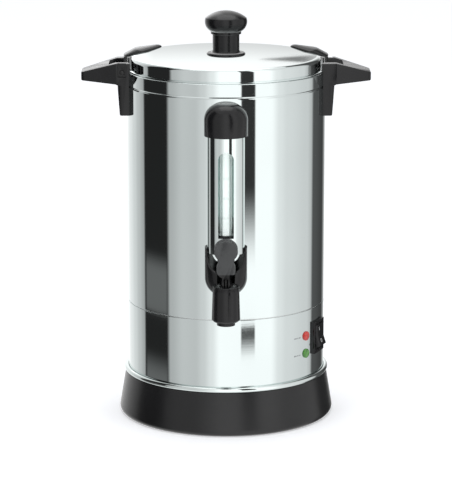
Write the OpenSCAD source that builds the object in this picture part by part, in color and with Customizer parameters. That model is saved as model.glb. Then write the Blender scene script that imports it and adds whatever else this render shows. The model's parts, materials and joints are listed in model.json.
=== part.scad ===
// Coffee urn: a stainless percolator tank on an electric base, with a tap and a sight gauge.
// Origin: on the tank's axis, at the surface that the base stands on. The tap points along -Y.

/* [Tank] */
// Outer radius of the tank and of the casing below it
body_r = 109.4; // [100:0.1:125]
// Thickness of the pressed steel sheet
sheet_t = 1; // [0.6:0.1:1.5]
// Height of the seam between the tank and the lower casing
seam_z = 128.5; // [120:0.5:135]
// Height of the tank's brim
brim_z = 386; // [370:1:400]
// Height of the band under the brim, down to the rolled groove
collar_h = 16; // [12:1:20]
// Radius of the well that the pump stands in
well_r = 21; // [18:0.5:26]
// Depth of the well below the tank's floor
well_depth = 12; // [8:1:14]

/* [Base] */
// How far the foot of the black skirt stands out from the casing
skirt_flare = 9.9; // [8:0.1:20]
// How far the skirt's top edge stands out from the casing
skirt_top_flare = 3.1; // [2.5:0.1:6]
// Height of the skirt
skirt_h = 48; // [42:1:54]
// Radius of the skirt's rounded lower edge
skirt_edge_r = 6; // [4:0.5:8]
// Wall of the moulded skirt
skirt_t = 3; // [2:0.5:4]
// Radius of the half-round bead above the skirt
bead_r = 3; // [2:0.1:3.5]

/* [Lid] */
// How far the lid's raised band stands in from the tank's side
lid_inset = 5.4; // [5:0.1:10]
// Height of the lid above the brim
lid_h = 15.4; // [12:0.1:20]
// Radius of the rounded edge of the lid's top
lid_edge_r = 4.5; // [3:0.1:6]
// How far the lid reaches down into the tank
lid_lip_h = 5.5; // [4:0.5:8]
// Radius of the knob's head
knob_r = 23.25; // [18:0.25:28]
// Height of the knob's head
knob_head_h = 24; // [18:0.5:28]
// Radius of the knob's stem
knob_stem_r = 14.75; // [10:0.25:16]
// Height of the knob above the lid
knob_h = 49.45; // [40:0.05:60]

/* [Handles] */
// Reach of a handle out from the tank's side
handle_reach = 49.35; // [40:0.05:60]
// Width of a handle where it meets the tank
handle_w = 56; // [48:1:62]
// Width of a handle at its tip
handle_tip_w = 31; // [24:1:40]
// How far the handle's leg reaches down from the brim
leg_drop = 47.1; // [44:0.1:60]
// Thickness of the leg at its foot
leg_t = 6.6; // [6:0.1:10]
// Width of a latch
latch_w = 32; // [26:1:36]

/* [Tap and gauge] */
// Distance from the tank's side to the tap's axis
tap_out = 57.2; // [54:0.1:64]
// Height of the tap's shank above the stand
shank_z = 168.6; // [160:0.1:175]
// Radius of the tap's body at its foot
tap_r = 15.1; // [14.5:0.1:17]
// Radius of the tap's nozzle
nozzle_r = 9.7; // [8:0.1:11]
// Radius of the bore in the nozzle
spout_bore_r = 5.5; // [4:0.1:6]
// Outer radius of the glass tube
glass_r = 6.8; // [5.5:0.1:7]
// Wall of the glass tube
glass_t = 1.6; // [1:0.1:2]
// Outer radius of the chrome guard round the glass tube
guard_r = 20; // [18:0.1:22]
// Width of the window in the guard
window_w = 16.7; // [14.5:0.1:18]
// Top of the guard's window below the black cap
window_drop = 15.3; // [12:0.1:30]
// Radius of the black cap at the top of the gauge
cap_r = 23.3; // [22.5:0.1:25]
// Top of that cap below the brim
cap_drop = 19.6; // [17:0.1:26]

/* [Percolator] */
// Outer radius of the pump tube
tube_r = 5; // [4:0.1:6]
// Outer radius of the coffee basket
basket_r = 60; // [50:1:75]
// Height of the coffee basket
basket_h = 72; // [60:1:80]

/* [Controls] */
// Turn from the tap to the two lights, in degrees
lights_az = 53.3; // [48:0.1:54]
// Height of the red light
red_z = 100.3; // [98:0.1:106]
// Height of the green light
green_z = 80.6; // [74:0.1:84]
// Radius of a light's lens
lens_r = 5.2; // [4:0.1:6]
// Turn from the tap to the switch, in degrees
switch_az = 67.5; // [67:0.5:75]
// Height of the middle of the switch
switch_z = 95; // [90:0.5:100]
// Width of the switch's bezel
bezel_w = 28; // [26:0.5:30]
// Height of the switch's bezel
bezel_h = 36; // [34:0.5:38]

/* [Hidden] */
$fn = 96;

// Shared clearances
over = 1;            // how far a cut runs past the face that it opens
air = 0.3;           // gap between pieces that move past each other
snug = 0.05;         // radial gap of a screw or pin in its hole
drop_in = 0.5;       // gap round what is lifted out by hand

// Fasteners
m3_r = 1.5;
m4_r = 2;
m5_r = 2.5;
head_share = 1.8;    // radius of a screw's head as a share of the radius of its thread
head_h_share = 0.9;  // height of a screw's head, the same
slot_share = 0.35;   // width and depth of a driver's slot, the same

// Levels and radii that follow from the sizes above
body_in_r = body_r - sheet_t;
skirt_r = body_r + skirt_flare;
skirt_top_r = body_r + skirt_top_flare;
lid_r = body_r - lid_inset;
floor_rise = 5.5;                    // tank's floor above the seam
floor_z = seam_z + floor_rise;
collar_z = brim_z - collar_h;
lid_z = brim_z + lid_h;
lid_top_in_z = lid_z - sheet_t;
total_h = lid_z + knob_h;
seam_gap = 0.8 * sheet_t;

// Brim of the tank and the lid's flange on it
brim_w = 6.6;
brim_in_r = body_r - brim_w;
flange_r = body_r - 0.3 * brim_w;
lip_r = brim_in_r - drop_in;
groove_d = 0.6 * sheet_t;
groove_h = 1.4 * sheet_t;

// Ledge of the skirt that carries the casing
ledge_t = 3;
ledge_w = 12;
ledge_drop = 8;
ledge_z = skirt_h - ledge_drop;
rim_h = 5;
rim_w = 4;
skirt_arc_x = skirt_r - skirt_edge_r;
rim_in_r = skirt_arc_x - rim_w;
boss_r = 5;
boss_ring_r = body_in_r - ledge_w + boss_r / 2;
cover_t = 2.5;
cover_z = rim_h - cover_t;
cover_r = rim_in_r - air;
foot_r = 9;
foot_ring_r = boss_ring_r - 2 * boss_r;
foot_stud_r = 3;
foot_turn = 45;
corner_count = 4;

// Where the tap, the gauge and their pieces stand, as distances from the tank's axis
tap_reach = body_r + tap_out;
tap_y = -tap_reach;
guard_gap = 4.6;
guard_axis_y = -(body_r + guard_gap);
wall_t = 2;                          // wall of the cover, of the cap and of the tap's shoulder
seal_t = 2;
cover_back_y = body_r + seal_t;      // back of the tap's cover
shoulder_y = cover_back_y + wall_t;  // shoulder that clamps the cover
gauge_gap = 12.1;                    // glass tube's axis off the tank's wall
gauge_axis_y = -(body_r + gauge_gap);
shank_r = 6.5;
shank_bore_r = 4.2;
shank_l = 16;                        // length of the shank inside the tank
shoulder_r = 8.3;
shoulder_t = 3;
socket_wall = 2.4;
socket_r = glass_r + socket_wall;
socket_rise = 20;
socket_floor_z = shank_z + socket_rise;
socket_d = 24;
socket_top_z = socket_floor_z + socket_d;
gland_h = 14;                        // height of the gland nut on the gauge's socket
gland_wall = 3.7;
gland_r = glass_r + gland_wall;
seal_w = 1.4;                        // thickness of the seals round the glass
window_lap = 2.3;                    // gland nut seen at the foot of the window
window_z = socket_top_z + gland_h - window_lap;
guard_t = 0.8 * sheet_t;
cap_h = 34.1;
cap_top_z = brim_z - cap_drop;
cap_z = cap_top_z - cap_h;
window_top_z = cap_z - window_drop;
cap_edge_r = 18;
cap_shelf_h = 15.5;                  // shelf inside the cap that the glass ends under
cap_shelf_z = cap_z + cap_shelf_h;
cap_screw_h = 25.5;
cap_screw_z = cap_z + cap_screw_h;
cap_boss_r = 4.5;
cap_screw_l = 9.5;
cover_half_w = cap_r - 0.3 * wall_t;
cover_edge_r = 20;
cover_drop = 10.6;                   // bottom of the tap's cover below the shank's axis
cover_h = 53;
tap_cover_z = shank_z - cover_drop;
tap_cover_top_z = tap_cover_z + cover_h;

// Tap
tap_taper = 1;
tap_top_r = tap_r - tap_taper;
tap_crown = 1.5;                     // top of the tap's body above the shank
tap_top_z = shank_z + shank_r + tap_crown;
tap_drop = 25.8;                     // foot of the tap's body below the shank's axis
tap_foot_z = shank_z - tap_drop;
nozzle_l = 4.1;
nozzle_z = tap_foot_z - nozzle_l;
bonnet_h = 4.4;
plug_h = 4;
bonnet_z = tap_top_z + bonnet_h;
chamber_r = 10.5;
seat_drop = 16;
seat_z = shank_z - seat_drop;
stem_r = 2;
cup_r = 7.5;
cup_h = 8;
pin_rise = 4.5;
stem_top_r = stem_r + air;
button_h = 1.5;
pin_z = bonnet_z + pin_rise;
cam_r = 4.2;                         // half the depth of the lever's foot on the bonnet
lever_pin_r = 1.25;
neck_w = 8;
lever_t = 7;
lever_lean = 18;
lobe_r = 12.4;
lower_lobe_r = 10;
waist_w = 16.6;
lower_lobe_h = 15.5;                 // height of each lobe above the pin, along the lever
lobe_h = 38;

// Handles and latches; every x is a distance from the tank's axis
handle_round = 1.5;
handle_tip_x = body_r + handle_reach;
leg_z = brim_z - leg_drop;
wing_rise = 10;
wing_top_z = brim_z + wing_rise;
wing_tip_drop = 1;
wing_tip_top_z = brim_z - wing_tip_drop;
wing_tip_t = 8.9;
wing_tip_z = wing_tip_top_z - wing_tip_t;
wing_root_rise = 3.3;                // underside of the wing at its root, above the collar
wing_root_z = collar_z + wing_root_rise;
leg_top_t = 9.1;
leg_top_x = body_r + leg_top_t;
leg_foot_x = body_r + leg_t;
wing_flat_x = leg_top_x + 1.25 * handle_round;
leg_edge = 5;                        // radius of the upright edges of a handle
handle_screw_rise = 9;
handle_screw_pitch = 15;
handle_screw_zs = [leg_z + handle_screw_rise, leg_z + handle_screw_rise + handle_screw_pitch];
lid_clear_r = flange_r + 2.5 * air;
barrel_r = 3.3;
barrel_gap = 0.8;                    // hinge's barrel off the tank's wall
hinge_x = body_r + barrel_gap + barrel_r;
hinge_drop = 0.4;
hinge_z = brim_z - hinge_drop;
pin_r = 1.5;
latch_stem_t = 3.6;
latch_stem_x = flange_r + 2 * air;
pocket_d = 19;                       // reach of the notch that the latch swings back into
pocket_x = body_r + pocket_d;
pocket_z = hinge_z - barrel_r - air;
window_d = 5;                        // depth of the window that shows the pin's head
window_air = 1.2;
pin_grip = 8;                        // length of the pin in the handle's far cheek
latch_gap = 1.3;                     // height of the latch above the closed lid
latch_reach = 38.9;
latch_mid_reach = 17.4;
latch_tip_x = body_r - latch_reach;
latch_mid_x = body_r - latch_mid_reach;
latch_tip_rise = 25.2;
latch_tip_z = brim_z + latch_tip_rise;
latch_heel_x = latch_stem_x + 0.3 * latch_stem_t;
paddle_t = 5.4;
paddle_shares = [0.42, 1, 0.86];     // width of the paddle at its tip, middle and heel

// Knob
knob_waist = 1.9;                    // knob's foot within its head
knob_foot_r = knob_r - knob_waist;
knob_foot_h = 3.6;
knob_fillet = 3;
knob_dome_r = 1.55 * knob_r;
knob_step_w = 2;
knob_step_r = knob_stem_r + knob_step_w;
knob_step_h = 1.5;
knob_z = total_h - knob_head_h;
knob_bore_h = 16;
washer_t = 1;

// Percolator
well_z = floor_z - well_depth;
well_t = 1.2 * sheet_t;
foot_h = 22;
foot_gap = 1.5;
foot_skirt_r = well_r - foot_gap;
tube_t = 1;
tube_drop = 17;                      // top of the tube below the lid
tube_top_z = lid_top_in_z - tube_drop;
basket_drop = 8;
basket_z = tube_top_z - basket_h - basket_drop;
basket_taper = 3;
basket_floor_r = basket_r - basket_taper;
collar_t = 3;
spreader_t = 0.8;
spreader_lip = 6;
perforation_r = 1.6;
perforation_rings = 5;
perforation_pitch = 9.5;

// Lights and switch
lens_h = 2;
lens_lip = 0.9;
light_stem_r = lens_r - lens_lip;
light_stem_h = 15;
clip_t = 1.5;
bezel_t = 2.4;
bezel_lip = 3.4;
switch_depth = 22;
rocker_w = bezel_w - 2 * bezel_lip - 2 * air;
rocker_r = (bezel_h - 2 * bezel_lip) / 2 - air;
rocker_axis = 3;                     // depth of the rocker's trunnions below the casing's face
rocker_tilt = 11;
rocker_valley = 6;
rocker_peak = 7.6;

// Heating and wiring
element_ring_r = 40;
element_r = 4;
plate_gap = 5;
plate_in_r = well_r + plate_gap;
plate_r = 62;
plate_t = 2;
plate_z = floor_z - well_t - plate_t;
element_z = plate_z - element_r;
element_leg_h = 22;
element_leg_turns = [-12, 12];
stud_count = 3;
stud_turn = 30;
stud_inset = 8;
stud_ring_r = plate_r - stud_inset;
stud_h = 12;
nut_h = 3.2;
stat_r = 8.5;
stat_h = 11;
fuse_r = 2.2;
fuse_l = 14;
strap_t = 0.8;
fuse_turn = 210;
block_w = 40;
block_d = 18;
block_h = 16;
block_ways = 3;
lead_r = 1.4;
lead_sides = 8;                      // leads are drawn with flats
bend_r = 1.9;                        // sleeves over the bends of the leads

// Appliance inlet at the back
inlet_z = 78;
inlet_w = 50;
inlet_h = 25;
inlet_t = 3;
inlet_body_w = 28;
inlet_body_h = 21;
inlet_depth = 25;
socket_w = 24.4;
socket_h = 16.8;
socket_depth = 17;
blade_w = 2;
blade_h = 4;
blade_pitch = 7;
blade_rise = 2;
blade_l = 14;
tag_l = 9;
tag_w = 6.3;
tag_t = 0.8;
inlet_screw_x = 20;
inlet_y = body_r + inlet_t;

STEEL = [0.80, 0.82, 0.82];
CHROME = [0.86, 0.88, 0.88];
BLACK = [0.12, 0.12, 0.12];
GREY = [0.27, 0.28, 0.28];

// Shared shapes

// Places a piece on the casing, turned from the tap by az; its outward side is -Y.
module on_casing(az, z) {
    rotate([0, 0, az])
        translate([0, -body_r, z])
            children();
}

// Puts a copy at each of n equal turns round the axis.
module around(n, r, first = 0) {
    for (i = [0:n - 1])
        rotate([0, 0, first + i * 360 / n])
            translate([r, 0, 0])
                children();
}

module block(x, y, z) {
    translate([x[0], y[0], z[0]])
        cube([x[1] - x[0], y[1] - y[0], z[1] - z[0]]);
}

module ring(r_out, r_in, z, h) {
    translate([0, 0, z])
        difference() {
            cylinder(h = h, r = r_out);
            translate([0, 0, -over])
                cylinder(h = h + 2 * over, r = r_in);
        }
}

// A straight lead between two points.
module rod(a, b, r) {
    d = b - a;
    l = norm(d);
    translate(a)
        rotate([0, acos(d[2] / l), atan2(d[1], d[0])])
            cylinder(h = l, r = r, $fn = lead_sides);
}

module lead(points, r) {
    for (i = [0:len(points) - 2])
        rod(points[i], points[i + 1], r);
    for (i = [1:len(points) - 2])
        bend(points[i]);
}

// Sleeve over a sharp bend of a lead.
module bend(at) {
    translate([at[0], at[1], at[2] - bend_r])
        cylinder(h = 2 * bend_r, r = bend_r);
}

// Screw along +Z: its head lies below z = 0, its thread above.
module screw(r, l) {
    head_r = head_share * r;
    head_h = head_h_share * r;
    slot = slot_share * r;
    cylinder(h = l, r = r);
    translate([0, 0, -head_h])
        difference() {
            cylinder(h = head_h, r = head_r);
            block([-head_r - over, head_r + over], [-slot / 2, slot / 2], [-over, slot]);
            block([-slot / 2, slot / 2], [-head_r - over, head_r + over], [-over, slot]);
        }
}

module nut(r, h) {
    difference() {
        cylinder(h = h, r = head_share * r / cos(30), $fn = 6);
        translate([0, 0, -over])
            cylinder(h = h + 2 * over, r = r + snug);
    }
}

module body_cut(r, z0, z1) {
    translate([0, 0, z0])
        cylinder(h = z1 - z0, r = r);
}

// Tank

module tank_shell() {
    color(STEEL)
        difference() {
            rotate_extrude()
                polygon([[body_in_r, seam_z + seam_gap], [body_r, seam_z + seam_gap],
                    [body_r, collar_z], [body_r - groove_d, collar_z + groove_h / 2],
                    [body_r, collar_z + groove_h], [body_r, brim_z - sheet_t / 2],
                    [body_r - sheet_t / 2, brim_z], [brim_in_r, brim_z],
                    [brim_in_r, brim_z - sheet_t], [body_in_r - groove_d, brim_z - sheet_t],
                    [body_in_r - groove_d, collar_z + groove_h], [body_in_r - groove_d, collar_z],
                    [body_in_r, collar_z - groove_h]]);
            translate([0, 0, shank_z])
                rotate([90, 0, 0])
                    cylinder(h = body_r + over, r = shank_r + snug);
            translate([0, 0, cap_screw_z])
                rotate([90, 0, 0])
                    cylinder(h = body_r + over, r = m4_r + snug);
            for (z = handle_screw_zs)
                translate([-body_r - over, 0, z])
                    rotate([0, 90, 0])
                        cylinder(h = 2 * (body_r + over), r = m5_r + snug);
        }
}

module tank_bottom() {
    color(STEEL) {
        rotate_extrude()
            polygon([[body_in_r - sheet_t, seam_z], [body_in_r, seam_z], [body_in_r, floor_z],
                [well_r + well_t, floor_z], [well_r, floor_z - well_t],
                [well_r, well_z], [0, well_z], [0, well_z - well_t],
                [well_r + well_t, well_z - well_t], [well_r + well_t, floor_z - well_t],
                [body_in_r - sheet_t, floor_z - well_t]]);
        around(stud_count, stud_ring_r, stud_turn)
            translate([0, 0, floor_z - well_t - stud_h])
                cylinder(h = stud_h, r = m4_r);
    }
}

module lower_casing() {
    lip_w = 9;
    color(STEEL)
        difference() {
            rotate_extrude()
                polygon([[body_r - ledge_w, ledge_z], [body_r, ledge_z],
                    [body_r, seam_z - sheet_t / 2], [body_r - sheet_t / 2, seam_z],
                    [body_r - lip_w, seam_z], [body_r - lip_w, seam_z - sheet_t],
                    [body_in_r, seam_z - sheet_t], [body_in_r, ledge_z + sheet_t],
                    [body_r - ledge_w, ledge_z + sheet_t]]);
            for (z = [red_z, green_z])
                on_casing(lights_az, z)
                    translate([0, ledge_w, 0])
                        rotate([90, 0, 0])
                            cylinder(h = 2 * ledge_w, r = light_stem_r + snug);
            on_casing(switch_az, switch_z)
                block([-bezel_w / 2 + bezel_lip / 2 - air, bezel_w / 2 - bezel_lip / 2 + air],
                    [-ledge_w, ledge_w],
                    [-bezel_h / 2 + bezel_lip / 2 - air, bezel_h / 2 - bezel_lip / 2 + air]);
            block([-inlet_body_w / 2 - air, inlet_body_w / 2 + air], [body_r - ledge_w, inlet_y],
                [inlet_z - inlet_body_h / 2 - air, inlet_z + inlet_body_h / 2 + air]);
            for (x = [-inlet_screw_x, inlet_screw_x])
                translate([x, inlet_y, inlet_z])
                    rotate([90, 0, 0])
                        cylinder(h = ledge_w, r = m3_r + snug);
        }
}

// Base

// Outside line of the skirt: its rounded foot and the tangent up to its top edge.
function skirt_tangent() =
    let (dx = skirt_top_r - skirt_arc_x, dz = skirt_h - skirt_edge_r,
        turn = atan2(dz, dx) - acos(skirt_edge_r / norm([dx, dz])))
    [skirt_arc_x + skirt_edge_r * cos(turn), skirt_edge_r + skirt_edge_r * sin(turn)];

module base_skirt() {
    touch = skirt_tangent();
    throat_r = body_r + air;
    color(BLACK) {
        rotate_extrude() {
            polygon([[rim_in_r, 0], [skirt_arc_x, 0], [skirt_arc_x, skirt_edge_r], touch,
                [skirt_top_r, skirt_h], [throat_r, skirt_h], [throat_r, ledge_z],
                [body_r - ledge_w, ledge_z], [body_r - ledge_w, ledge_z - ledge_t],
                [throat_r, ledge_z - ledge_t], [touch[0] - skirt_t, touch[1]],
                [touch[0] - skirt_t, rim_h], [rim_in_r, rim_h]]);
            intersection() {
                translate([skirt_arc_x, skirt_edge_r])
                    circle(r = skirt_edge_r);
                polygon([[skirt_arc_x, -over], [skirt_r + over, -over], [skirt_r + over, touch[1]],
                    touch, [skirt_arc_x, skirt_edge_r]]);
            }
        }
        around(corner_count, boss_ring_r)
            difference() {
                translate([0, 0, rim_h])
                    cylinder(h = ledge_z - ledge_t - rim_h, r = boss_r);
                translate([0, 0, rim_h - over])
                    cylinder(h = ledge_z / 2, r = m4_r + snug);
            }
    }
}

module trim_ring() {
    color(CHROME)
        rotate_extrude() {
            translate([body_r + air + bead_r / 2, skirt_h + bead_r])
                intersection() {
                    circle(r = bead_r);
                    translate([-bead_r / 2, -bead_r])
                        square([2 * bead_r, 2 * bead_r]);
                }
        }
}

module bottom_cover() {
    vent_w = 3;
    vent_l = 24;
    vent_step = 8;
    vents = 5;
    color(BLACK)
        difference() {
            translate([0, 0, cover_z])
                cylinder(h = cover_t, r = cover_r);
            around(corner_count, boss_ring_r)
                translate([0, 0, cover_z - over])
                    cylinder(h = cover_t + 2 * over, r = m4_r + snug);
            around(corner_count, foot_ring_r, foot_turn)
                translate([0, 0, cover_z - over])
                    cylinder(h = cover_t + 2 * over, r = foot_stud_r + snug);
            for (i = [0:vents - 1])
                translate([(i - (vents - 1) / 2) * vent_step, 0, 0])
                    block([-vent_w / 2, vent_w / 2], [-vent_l / 2, vent_l / 2],
                        [cover_z - over, rim_h + over]);
        }
}

module rubber_feet() {
    head_h = 1.5 * sheet_t;
    color(BLACK)
        around(corner_count, foot_ring_r, foot_turn) {
            cylinder(h = cover_z, r = foot_r);
            cylinder(h = rim_h, r = foot_stud_r);
            translate([0, 0, rim_h])
                cylinder(h = head_h, r1 = 1.4 * foot_stud_r, r2 = foot_stud_r);
        }
}

module bottom_screws() {
    color(STEEL)
        around(corner_count, boss_ring_r)
            translate([0, 0, cover_z])
                screw(m4_r, ledge_z / 2 - over);
}

// Lid

module lid_shell() {
    arc_x = lid_r - lid_edge_r;
    arc_z = lid_z - lid_edge_r;
    color(CHROME)
        difference() {
            rotate_extrude() {
                difference() {
                    union() {
                        square([arc_x, lid_z]);
                        square([lid_r, arc_z]);
                        translate([arc_x, arc_z])
                            circle(r = lid_edge_r);
                    }
                    square([arc_x, lid_top_in_z]);
                    square([lid_r - sheet_t, arc_z]);
                    translate([arc_x, arc_z])
                        circle(r = lid_edge_r - sheet_t);
                    square([lid_r + over, brim_z]);
                }
                polygon([[lid_r - sheet_t, brim_z], [flange_r - sheet_t / 2, brim_z],
                    [flange_r, brim_z + sheet_t / 2], [flange_r, brim_z + sheet_t],
                    [flange_r - sheet_t / 2, brim_z + 1.5 * sheet_t],
                    [lid_r - sheet_t, brim_z + 1.5 * sheet_t]]);
                polygon([[lip_r - sheet_t, brim_z - lid_lip_h], [lip_r - sheet_t / 2, brim_z - lid_lip_h],
                    [lip_r, brim_z - lid_lip_h + sheet_t], [lip_r, brim_z],
                    [lid_r - sheet_t / 2, brim_z], [lid_r - sheet_t / 2, brim_z + sheet_t],
                    [lip_r - sheet_t, brim_z + sheet_t]]);
            }
            cylinder(h = lid_z + over, r = m5_r + snug);
        }
}

// Half of the knob's outline: a domed head with a round edge, a stem and a flared foot.
module knob_outline() {
    edge_r = knob_head_h / 2;
    intersection() {
        union() {
            translate([knob_r - edge_r, total_h - edge_r])
                circle(r = edge_r);
            translate([0, knob_z])
                square([knob_r - edge_r, knob_head_h]);
        }
        translate([0, total_h - knob_dome_r])
            circle(r = knob_dome_r);
        translate([0, knob_z])
            square([knob_r, knob_head_h]);
    }
    translate([0, knob_z - knob_step_h])
        square([knob_step_r, 2 * knob_step_h]);
    translate([0, lid_z])
        square([knob_stem_r, knob_z - lid_z]);
    translate([0, lid_z])
        square([knob_foot_r - knob_foot_h / 2, knob_foot_h]);
    translate([knob_foot_r - knob_foot_h / 2, lid_z + knob_foot_h / 2])
        circle(r = knob_foot_h / 2);
    difference() {
        translate([0, lid_z + knob_foot_h])
            square([knob_stem_r + knob_fillet, knob_fillet]);
        translate([knob_stem_r + knob_fillet, lid_z + knob_foot_h + knob_fillet])
            circle(r = knob_fillet);
    }
}

module lid_knob() {
    color(BLACK)
        difference() {
            rotate_extrude()
                knob_outline();
            translate([0, 0, lid_z - over])
                cylinder(h = knob_bore_h + over, r = m5_r + snug);
        }
}

module knob_screw() {
    color(STEEL)
        translate([0, 0, lid_top_in_z - washer_t])
            screw(m5_r, washer_t + sheet_t + knob_bore_h - over);
}

module knob_washer() {
    color(STEEL)
        ring(2 * head_share * m5_r, m5_r + snug, lid_top_in_z - washer_t, washer_t);
}

// Handles and latches, drawn on the +X side

module side_outline(points) {
    rotate([90, 0, 0])
        translate([0, 0, -handle_w / 2])
            linear_extrude(handle_w)
                offset(r = handle_round, $fn = 24)
                    offset(delta = -handle_round)
                        polygon(points);
}

module handle() {
    x0 = brim_in_r - handle_round;
    window_half = barrel_r + window_air;
    color(BLACK)
        difference() {
            union() {
                intersection() {
                    side_outline([[x0, wing_root_z - over], [leg_top_x, wing_root_z - over],
                        [wing_flat_x, wing_root_z], [handle_tip_x, wing_tip_z],
                        [handle_tip_x, wing_tip_top_z], [wing_flat_x, wing_top_z], [x0, wing_top_z]]);
                    translate([0, 0, leg_z])
                        linear_extrude(wing_top_z)
                            offset(r = leg_edge, $fn = 32)
                                offset(delta = -leg_edge)
                                    polygon([[x0 - leg_edge, -handle_w / 2],
                                        [wing_flat_x, -handle_w / 2],
                                        [handle_tip_x, -handle_tip_w / 2],
                                        [handle_tip_x, handle_tip_w / 2],
                                        [wing_flat_x, handle_w / 2],
                                        [x0 - leg_edge, handle_w / 2]]);
                }
                intersection() {
                    side_outline([[x0, leg_z], [leg_foot_x, leg_z],
                        [leg_top_x, wing_root_z], [leg_top_x, hinge_z], [x0, hinge_z]]);
                    translate([0, 0, leg_z - over])
                        linear_extrude(wing_top_z)
                            offset(r = leg_edge, $fn = 32)
                                offset(delta = -leg_edge)
                                    polygon([[x0 - leg_edge, -handle_w / 2],
                                        [leg_top_x, -handle_w / 2], [leg_top_x, handle_w / 2],
                                        [x0 - leg_edge, handle_w / 2]]);
                }
            }
            body_cut(body_r, leg_z - over, brim_z + air);
            body_cut(lid_clear_r, brim_z, wing_top_z + over);
            block([x0 - over, hinge_x + barrel_r + air],
                [-latch_w / 2 - air, latch_w / 2 + air], [pocket_z, wing_top_z + over]);
            block([x0 - over, pocket_x], [-latch_w / 2 - air, latch_w / 2 + air],
                [pocket_z + 1.5 * barrel_r, wing_top_z + over]);
            block([hinge_x - window_half, hinge_x + window_half],
                [handle_w / 2 - window_d, handle_w / 2 + over],
                [hinge_z - window_half, wing_top_z + over]);
            translate([hinge_x, handle_w / 2, hinge_z])
                rotate([90, 0, 0])
                    cylinder(h = (handle_w + latch_w) / 2 + pin_grip, r = pin_r);
            for (z = handle_screw_zs)
                translate([body_r - over, 0, z])
                    rotate([0, 90, 0])
                        cylinder(h = leg_t, r = m5_r + snug);
        }
}

module latch() {
    half = latch_w / 2;
    stations = [[latch_tip_x + paddle_t, latch_tip_z, paddle_t, 0.4 * paddle_t],
        [latch_mid_x, lid_z + latch_gap + 0.9 * paddle_t, 2 * paddle_t, 0.6 * paddle_t],
        [latch_heel_x, lid_z + latch_gap - 0.1 * paddle_t, 0.6 * paddle_t, 0.4 * paddle_t]];
    color(BLACK)
        difference() {
            union() {
                hull()
                    for (i = [0:2])
                        translate([stations[i][0], 0, stations[i][1]])
                            scale([stations[i][2], half * paddle_shares[i], stations[i][3]])
                                sphere(r = 1, $fn = 30);
                block([latch_stem_x, latch_stem_x + latch_stem_t],
                    [-half * paddle_shares[2], half * paddle_shares[2]],
                    [brim_z + air + sheet_t, lid_z + latch_gap - 0.1 * paddle_t]);
                block([latch_stem_x, hinge_x], [-half, half],
                    [brim_z + air + sheet_t, hinge_z + barrel_r]);
                translate([hinge_x, half, hinge_z])
                    rotate([90, 0, 0])
                        cylinder(h = latch_w, r = barrel_r);
            }
            translate([hinge_x, half + over, hinge_z])
                rotate([90, 0, 0])
                    cylinder(h = latch_w + 2 * over, r = pin_r + snug);
        }
}

module latch_pin() {
    head_r = 2.4;
    head_h = 1.2;
    far_y = -(latch_w / 2 + pin_grip);
    window_y = handle_w / 2 - window_d;
    color(STEEL)
        translate([hinge_x, 0, hinge_z])
            rotate([-90, 0, 0]) {
                translate([0, 0, far_y])
                    cylinder(h = window_y + head_h / 2 - far_y, r = pin_r);
                translate([0, 0, window_y])
                    cylinder(h = head_h, r = head_r);
            }
}

module handle_screws() {
    color(STEEL)
        for (z = handle_screw_zs)
            translate([body_in_r * cos(asin(head_share * m5_r / body_in_r)), 0, z])
                rotate([0, 90, 0])
                    screw(m5_r, sheet_t + leg_t - 1.5 * over);
}

module on_left() {
    rotate([0, 0, 180])
        children();
}

module handle_right() { handle(); }
module handle_left() { on_left() handle(); }
module handle_screws_right() { handle_screws(); }
module handle_screws_left() { on_left() handle_screws(); }
module latch_right() { latch(); }
module latch_left() { on_left() latch(); }
module latch_pin_right() { latch_pin(); }
module latch_pin_left() { on_left() latch_pin(); }

// Sight gauge

// Plan of a channel that is round in front and runs straight back into the tank.
module channel_plan(r) {
    translate([0, guard_axis_y])
        circle(r = r);
    translate([-r, guard_axis_y])
        square([2 * r, body_r / 4]);
}

module gauge_guard() {
    overlap = 5;
    guard_z = tap_cover_top_z - overlap;
    color(CHROME)
        difference() {
            translate([0, 0, guard_z])
                linear_extrude(cap_z + wall_t - guard_z)
                    difference() {
                        channel_plan(guard_r);
                        channel_plan(guard_r - guard_t);
                    }
            body_cut(body_r, guard_z - over, cap_top_z);
            block([-window_w / 2, window_w / 2], [-2 * body_r, guard_axis_y],
                [window_z, window_top_z - window_w / 2]);
            translate([0, guard_axis_y, window_top_z - window_w / 2])
                rotate([90, 0, 0])
                    cylinder(h = body_r, r = window_w / 2);
        }
}

// Half outline of a cap with a domed end.
module dome_outline(r, h, edge) {
    square([r, h - edge]);
    square([r - edge, h]);
    intersection() {
        translate([r - edge, h - edge])
            circle(r = edge);
        square([r, h]);
    }
}

// Face of a straight run of the same cap, drawn upright.
module dome_face(r, h, edge) {
    intersection() {
        union() {
            translate([-r, 0])
                square([2 * r, h - edge]);
            translate([edge - r, 0])
                square([2 * (r - edge), h]);
            for (x = [edge - r, r - edge])
                translate([x, h - edge])
                    circle(r = edge);
        }
        translate([-r, 0])
            square([2 * r, h]);
    }
}

// A domed cap that is round in front and runs straight back into the tank.
module domed_channel(r, h, edge) {
    run = body_r / 4;
    translate([0, guard_axis_y, 0]) {
        rotate([0, 0, 180])
            rotate_extrude(angle = 180)
                dome_outline(r, h, edge);
        rotate([90, 0, 0])
            translate([0, 0, -run])
                linear_extrude(run)
                    dome_face(r, h, edge);
    }
}

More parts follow.
